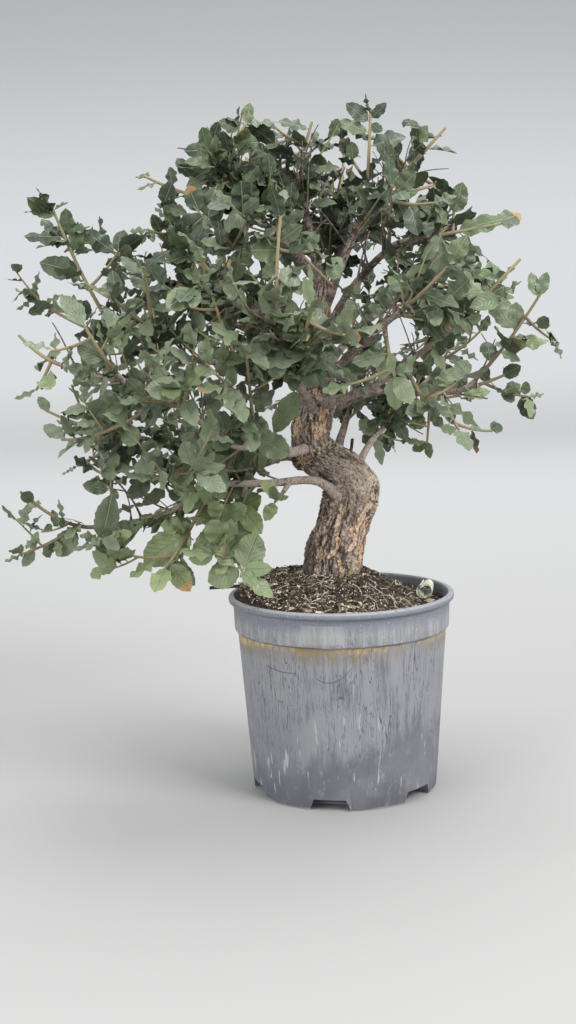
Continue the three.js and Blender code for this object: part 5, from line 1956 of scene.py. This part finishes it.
@dataclass(frozen=True)
class TwigBark:
    """Young green-tan bark that greys with age."""

    young: Color = (0.2, 0.2, 0.085)
    middle: Color = (0.3, 0.235, 0.13)
    old: Color = (0.15, 0.115, 0.09)

    def make(self) -> Finish:
        """Makes the material."""
        paint = Paint("young twig bark", 0.75)
        grain = paint.noise(paint.coords(), 700, 5, 0.7)
        age = paint.plus(paint.attribute("age"), paint.times(paint.attribute("tint"), 0.25))
        base = paint.ramp(age, (0.05, self.young), (0.35, self.middle), (0.8, self.old))
        base = paint.mix(paint.band(grain, 0.55, 0.7), base, (0.09, 0.065, 0.05))
        paint.bump(grain, 0.6, 0.0005)
        return paint.done(base)


@dataclass(frozen=True)
class Plain:
    """A finish of two tones that a noise mixes, with fine relief."""

    name: str
    first: Color
    second: Color
    scale: float
    rough: float = 0.8
    relief: float = 0.5

    def make(self) -> Finish:
        """Makes the material."""
        paint = Paint(self.name, self.rough)
        cloud = paint.noise(paint.coords(), self.scale, 5, 0.65)
        paint.bump(cloud, self.relief, 0.0006)
        return paint.done(paint.mix(paint.band(cloud, 0.35, 0.68), self.first, self.second))


@dataclass(frozen=True)
class ChipSurface:
    """Bark chips and straw from cream to tan, and dark crumbs."""

    def make(self) -> Finish:
        """Makes the material."""
        paint = Paint("chips and straw", 0.9)
        tint, dark = paint.attribute("tint"), paint.attribute("dark")
        grain = paint.noise(paint.coords(), 600, 4, 0.7)
        pale = paint.ramp(tint, (0.05, (0.1, 0.068, 0.045)), (0.4, (0.27, 0.2, 0.13)),
                          (0.7, (0.54, 0.46, 0.32)), (1, (0.75, 0.71, 0.57)))
        deep = paint.ramp(tint, (0, (0.018, 0.013, 0.011)), (0.7, (0.06, 0.042, 0.033)),
                          (1, (0.12, 0.085, 0.06)))
        base = paint.mix(dark, pale, deep)
        base = paint.mix(paint.times(paint.band(grain, 0.5, 0.7), 0.45), base, (0.05, 0.035, 0.028))
        paint.bump(grain, 0.5, 0.0006)
        return paint.done(base)


def build_stage() -> None:
    """A pale floor that curves up into a backdrop, with painted light and shade on it, a soft light from each
    side, and the world's light.
    """
    bpy.ops.object.select_all(action="DESELECT")
    bpy.ops.mesh.primitive_plane_add(size=8, location=(0, 1, -0.0002))
    floor = bpy.context.object
    floor.name = floor.data.name = "studio_floor"
    settle()
    for item in (*floor.data.vertices, *floor.data.polygons):
        item.select = False
    for edge in floor.data.edges:
        edge.select = all(floor.data.vertices[i].co.y > 4 for i in edge.vertices)
    bpy.ops.object.mode_set(mode="EDIT")
    bpy.ops.mesh.select_mode(type="EDGE")
    bpy.ops.mesh.extrude_region_move(TRANSFORM_OT_translate={"value": (0, 0.6, 3.2)})
    bpy.ops.object.mode_set(mode="OBJECT")
    fold = floor.modifiers.new("fold", "BEVEL")
    fold.width, fold.segments, fold.limit_method = 1.6, 24, "ANGLE"
    bpy.ops.object.modifier_apply(modifier=fold.name)
    soften(floor, 30)
    paint = Paint("pale studio floor", 0.9)
    _, y, z = paint.parts(paint.coords())
    # Painted light and shade: the floor is darker near the pot and lighter further back, brightest low on the
    # curve, and darker high on the backdrop.
    tone = paint.mix(paint.band(y, 0.2, 2.8), (0.37, 0.367, 0.36), (0.66, 0.66, 0.66))
    tone = paint.mix(paint.band(z, 0.0, 0.2), tone, (0.76, 0.76, 0.765))
    tone = paint.mix(paint.band(z, 0.6, 1.9), tone, (0.5, 0.5, 0.505))
    floor.data.materials.append(paint.done(tone))
    lamps = (("key", (1.6, -1.5, 1.9), 1.2, 66.0), ("fill", (-1.9, -1.5, 1.2), 1.8, 30.0),
             ("top", (0.1, 0.4, 2.4), 1.4, 36.0))
    for name, at, size, power in lamps:
        light = bpy.data.lights.new(name, "AREA")
        light.shape, light.size, light.energy = "SQUARE", size, power
        lamp = bpy.data.objects.new(name, light)
        lamp.location = at
        lamp.rotation_euler = (Vector((-0.03, 0, 0.3)) - Vector(at)).to_track_quat("-Z", "Y").to_euler()
        bpy.context.scene.collection.objects.link(lamp)
    world = bpy.data.worlds.new("studio")
    world.use_nodes = True
    world.node_tree.nodes["Background"].inputs[0].default_value = (0.95, 0.98, 1, 1)
    world.node_tree.nodes["Background"].inputs[1].default_value = 0.85
    bpy.context.scene.world = world
    bpy.context.scene.view_settings.view_transform = "Standard"


def build_camera() -> None:
    """The camera at the photograph's viewing angle, a little rolled."""
    data = bpy.data.cameras.new("photograph_view")
    data.lens, data.sensor_width, data.sensor_fit = 52.734, 36, "AUTO"
    camera = bpy.data.objects.new("photograph_view", data)
    camera.location = (-0.0451, -1.311, 0.431)
    look = Matrix.Rotation(math.radians(90 - 7.97), 3, "X") @ Matrix.Rotation(math.radians(-1.6), 3, "Z")
    camera.rotation_euler = look.to_euler()
    bpy.context.scene.collection.objects.link(camera)
    bpy.context.scene.camera = camera


def write_size() -> None:
    """Updates the view layer."""
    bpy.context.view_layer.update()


def main() -> None:
    """Builds the bonsai on its stage."""
    noise.seed_set(NOISE_SEED)
    growth = Growth()
    ground = Plain("dark potting mix", (0.02, 0.015, 0.013), (0.07, 0.052, 0.042), 380, 0.95, 0.9).make()
    NurseryPot(WeatheredPlastic().make()).build()
    grit = Plain("white grit", (0.6, 0.6, 0.56), (0.8, 0.8, 0.77), 900).make()
    PottingMix(ground, ChipSurface().make(), grit).build()
    Stick(Plain("black plastic", (0.012, 0.012, 0.014), (0.03, 0.03, 0.034), 500, 0.5, 0.3).make()).build()
    CurledLeaf(Plain("dry leaf", (0.42, 0.44, 0.34), (0.66, 0.68, 0.54), 240, 0.9).make()).build()
    Wood(growth, [CorkBark().make()]).build()
    upper = LeafSkin("leaf upper face", (0.028, 0.047, 0.026), (0.075, 0.106, 0.057), (0.175, 0.217, 0.134),
                     (0.27, 0.295, 0.17), 0.65, 0.42, 0.5)
    under = LeafSkin("leaf underside", (0.055, 0.075, 0.044), (0.115, 0.145, 0.09), (0.195, 0.23, 0.15),
                     (0.27, 0.295, 0.205), 0.55, 0.65, 0.3)
    cut = Plain("cut wood", (0.42, 0.34, 0.22), (0.6, 0.52, 0.36), 900, 0.85, 0.2)
    Foliage(growth, LeafPress(), [upper.make(), under.make(), TwigBark().make(), cut.make()]).build()
    build_stage()
    build_camera()
    write_size()


if __name__ == "__main__":
    main()
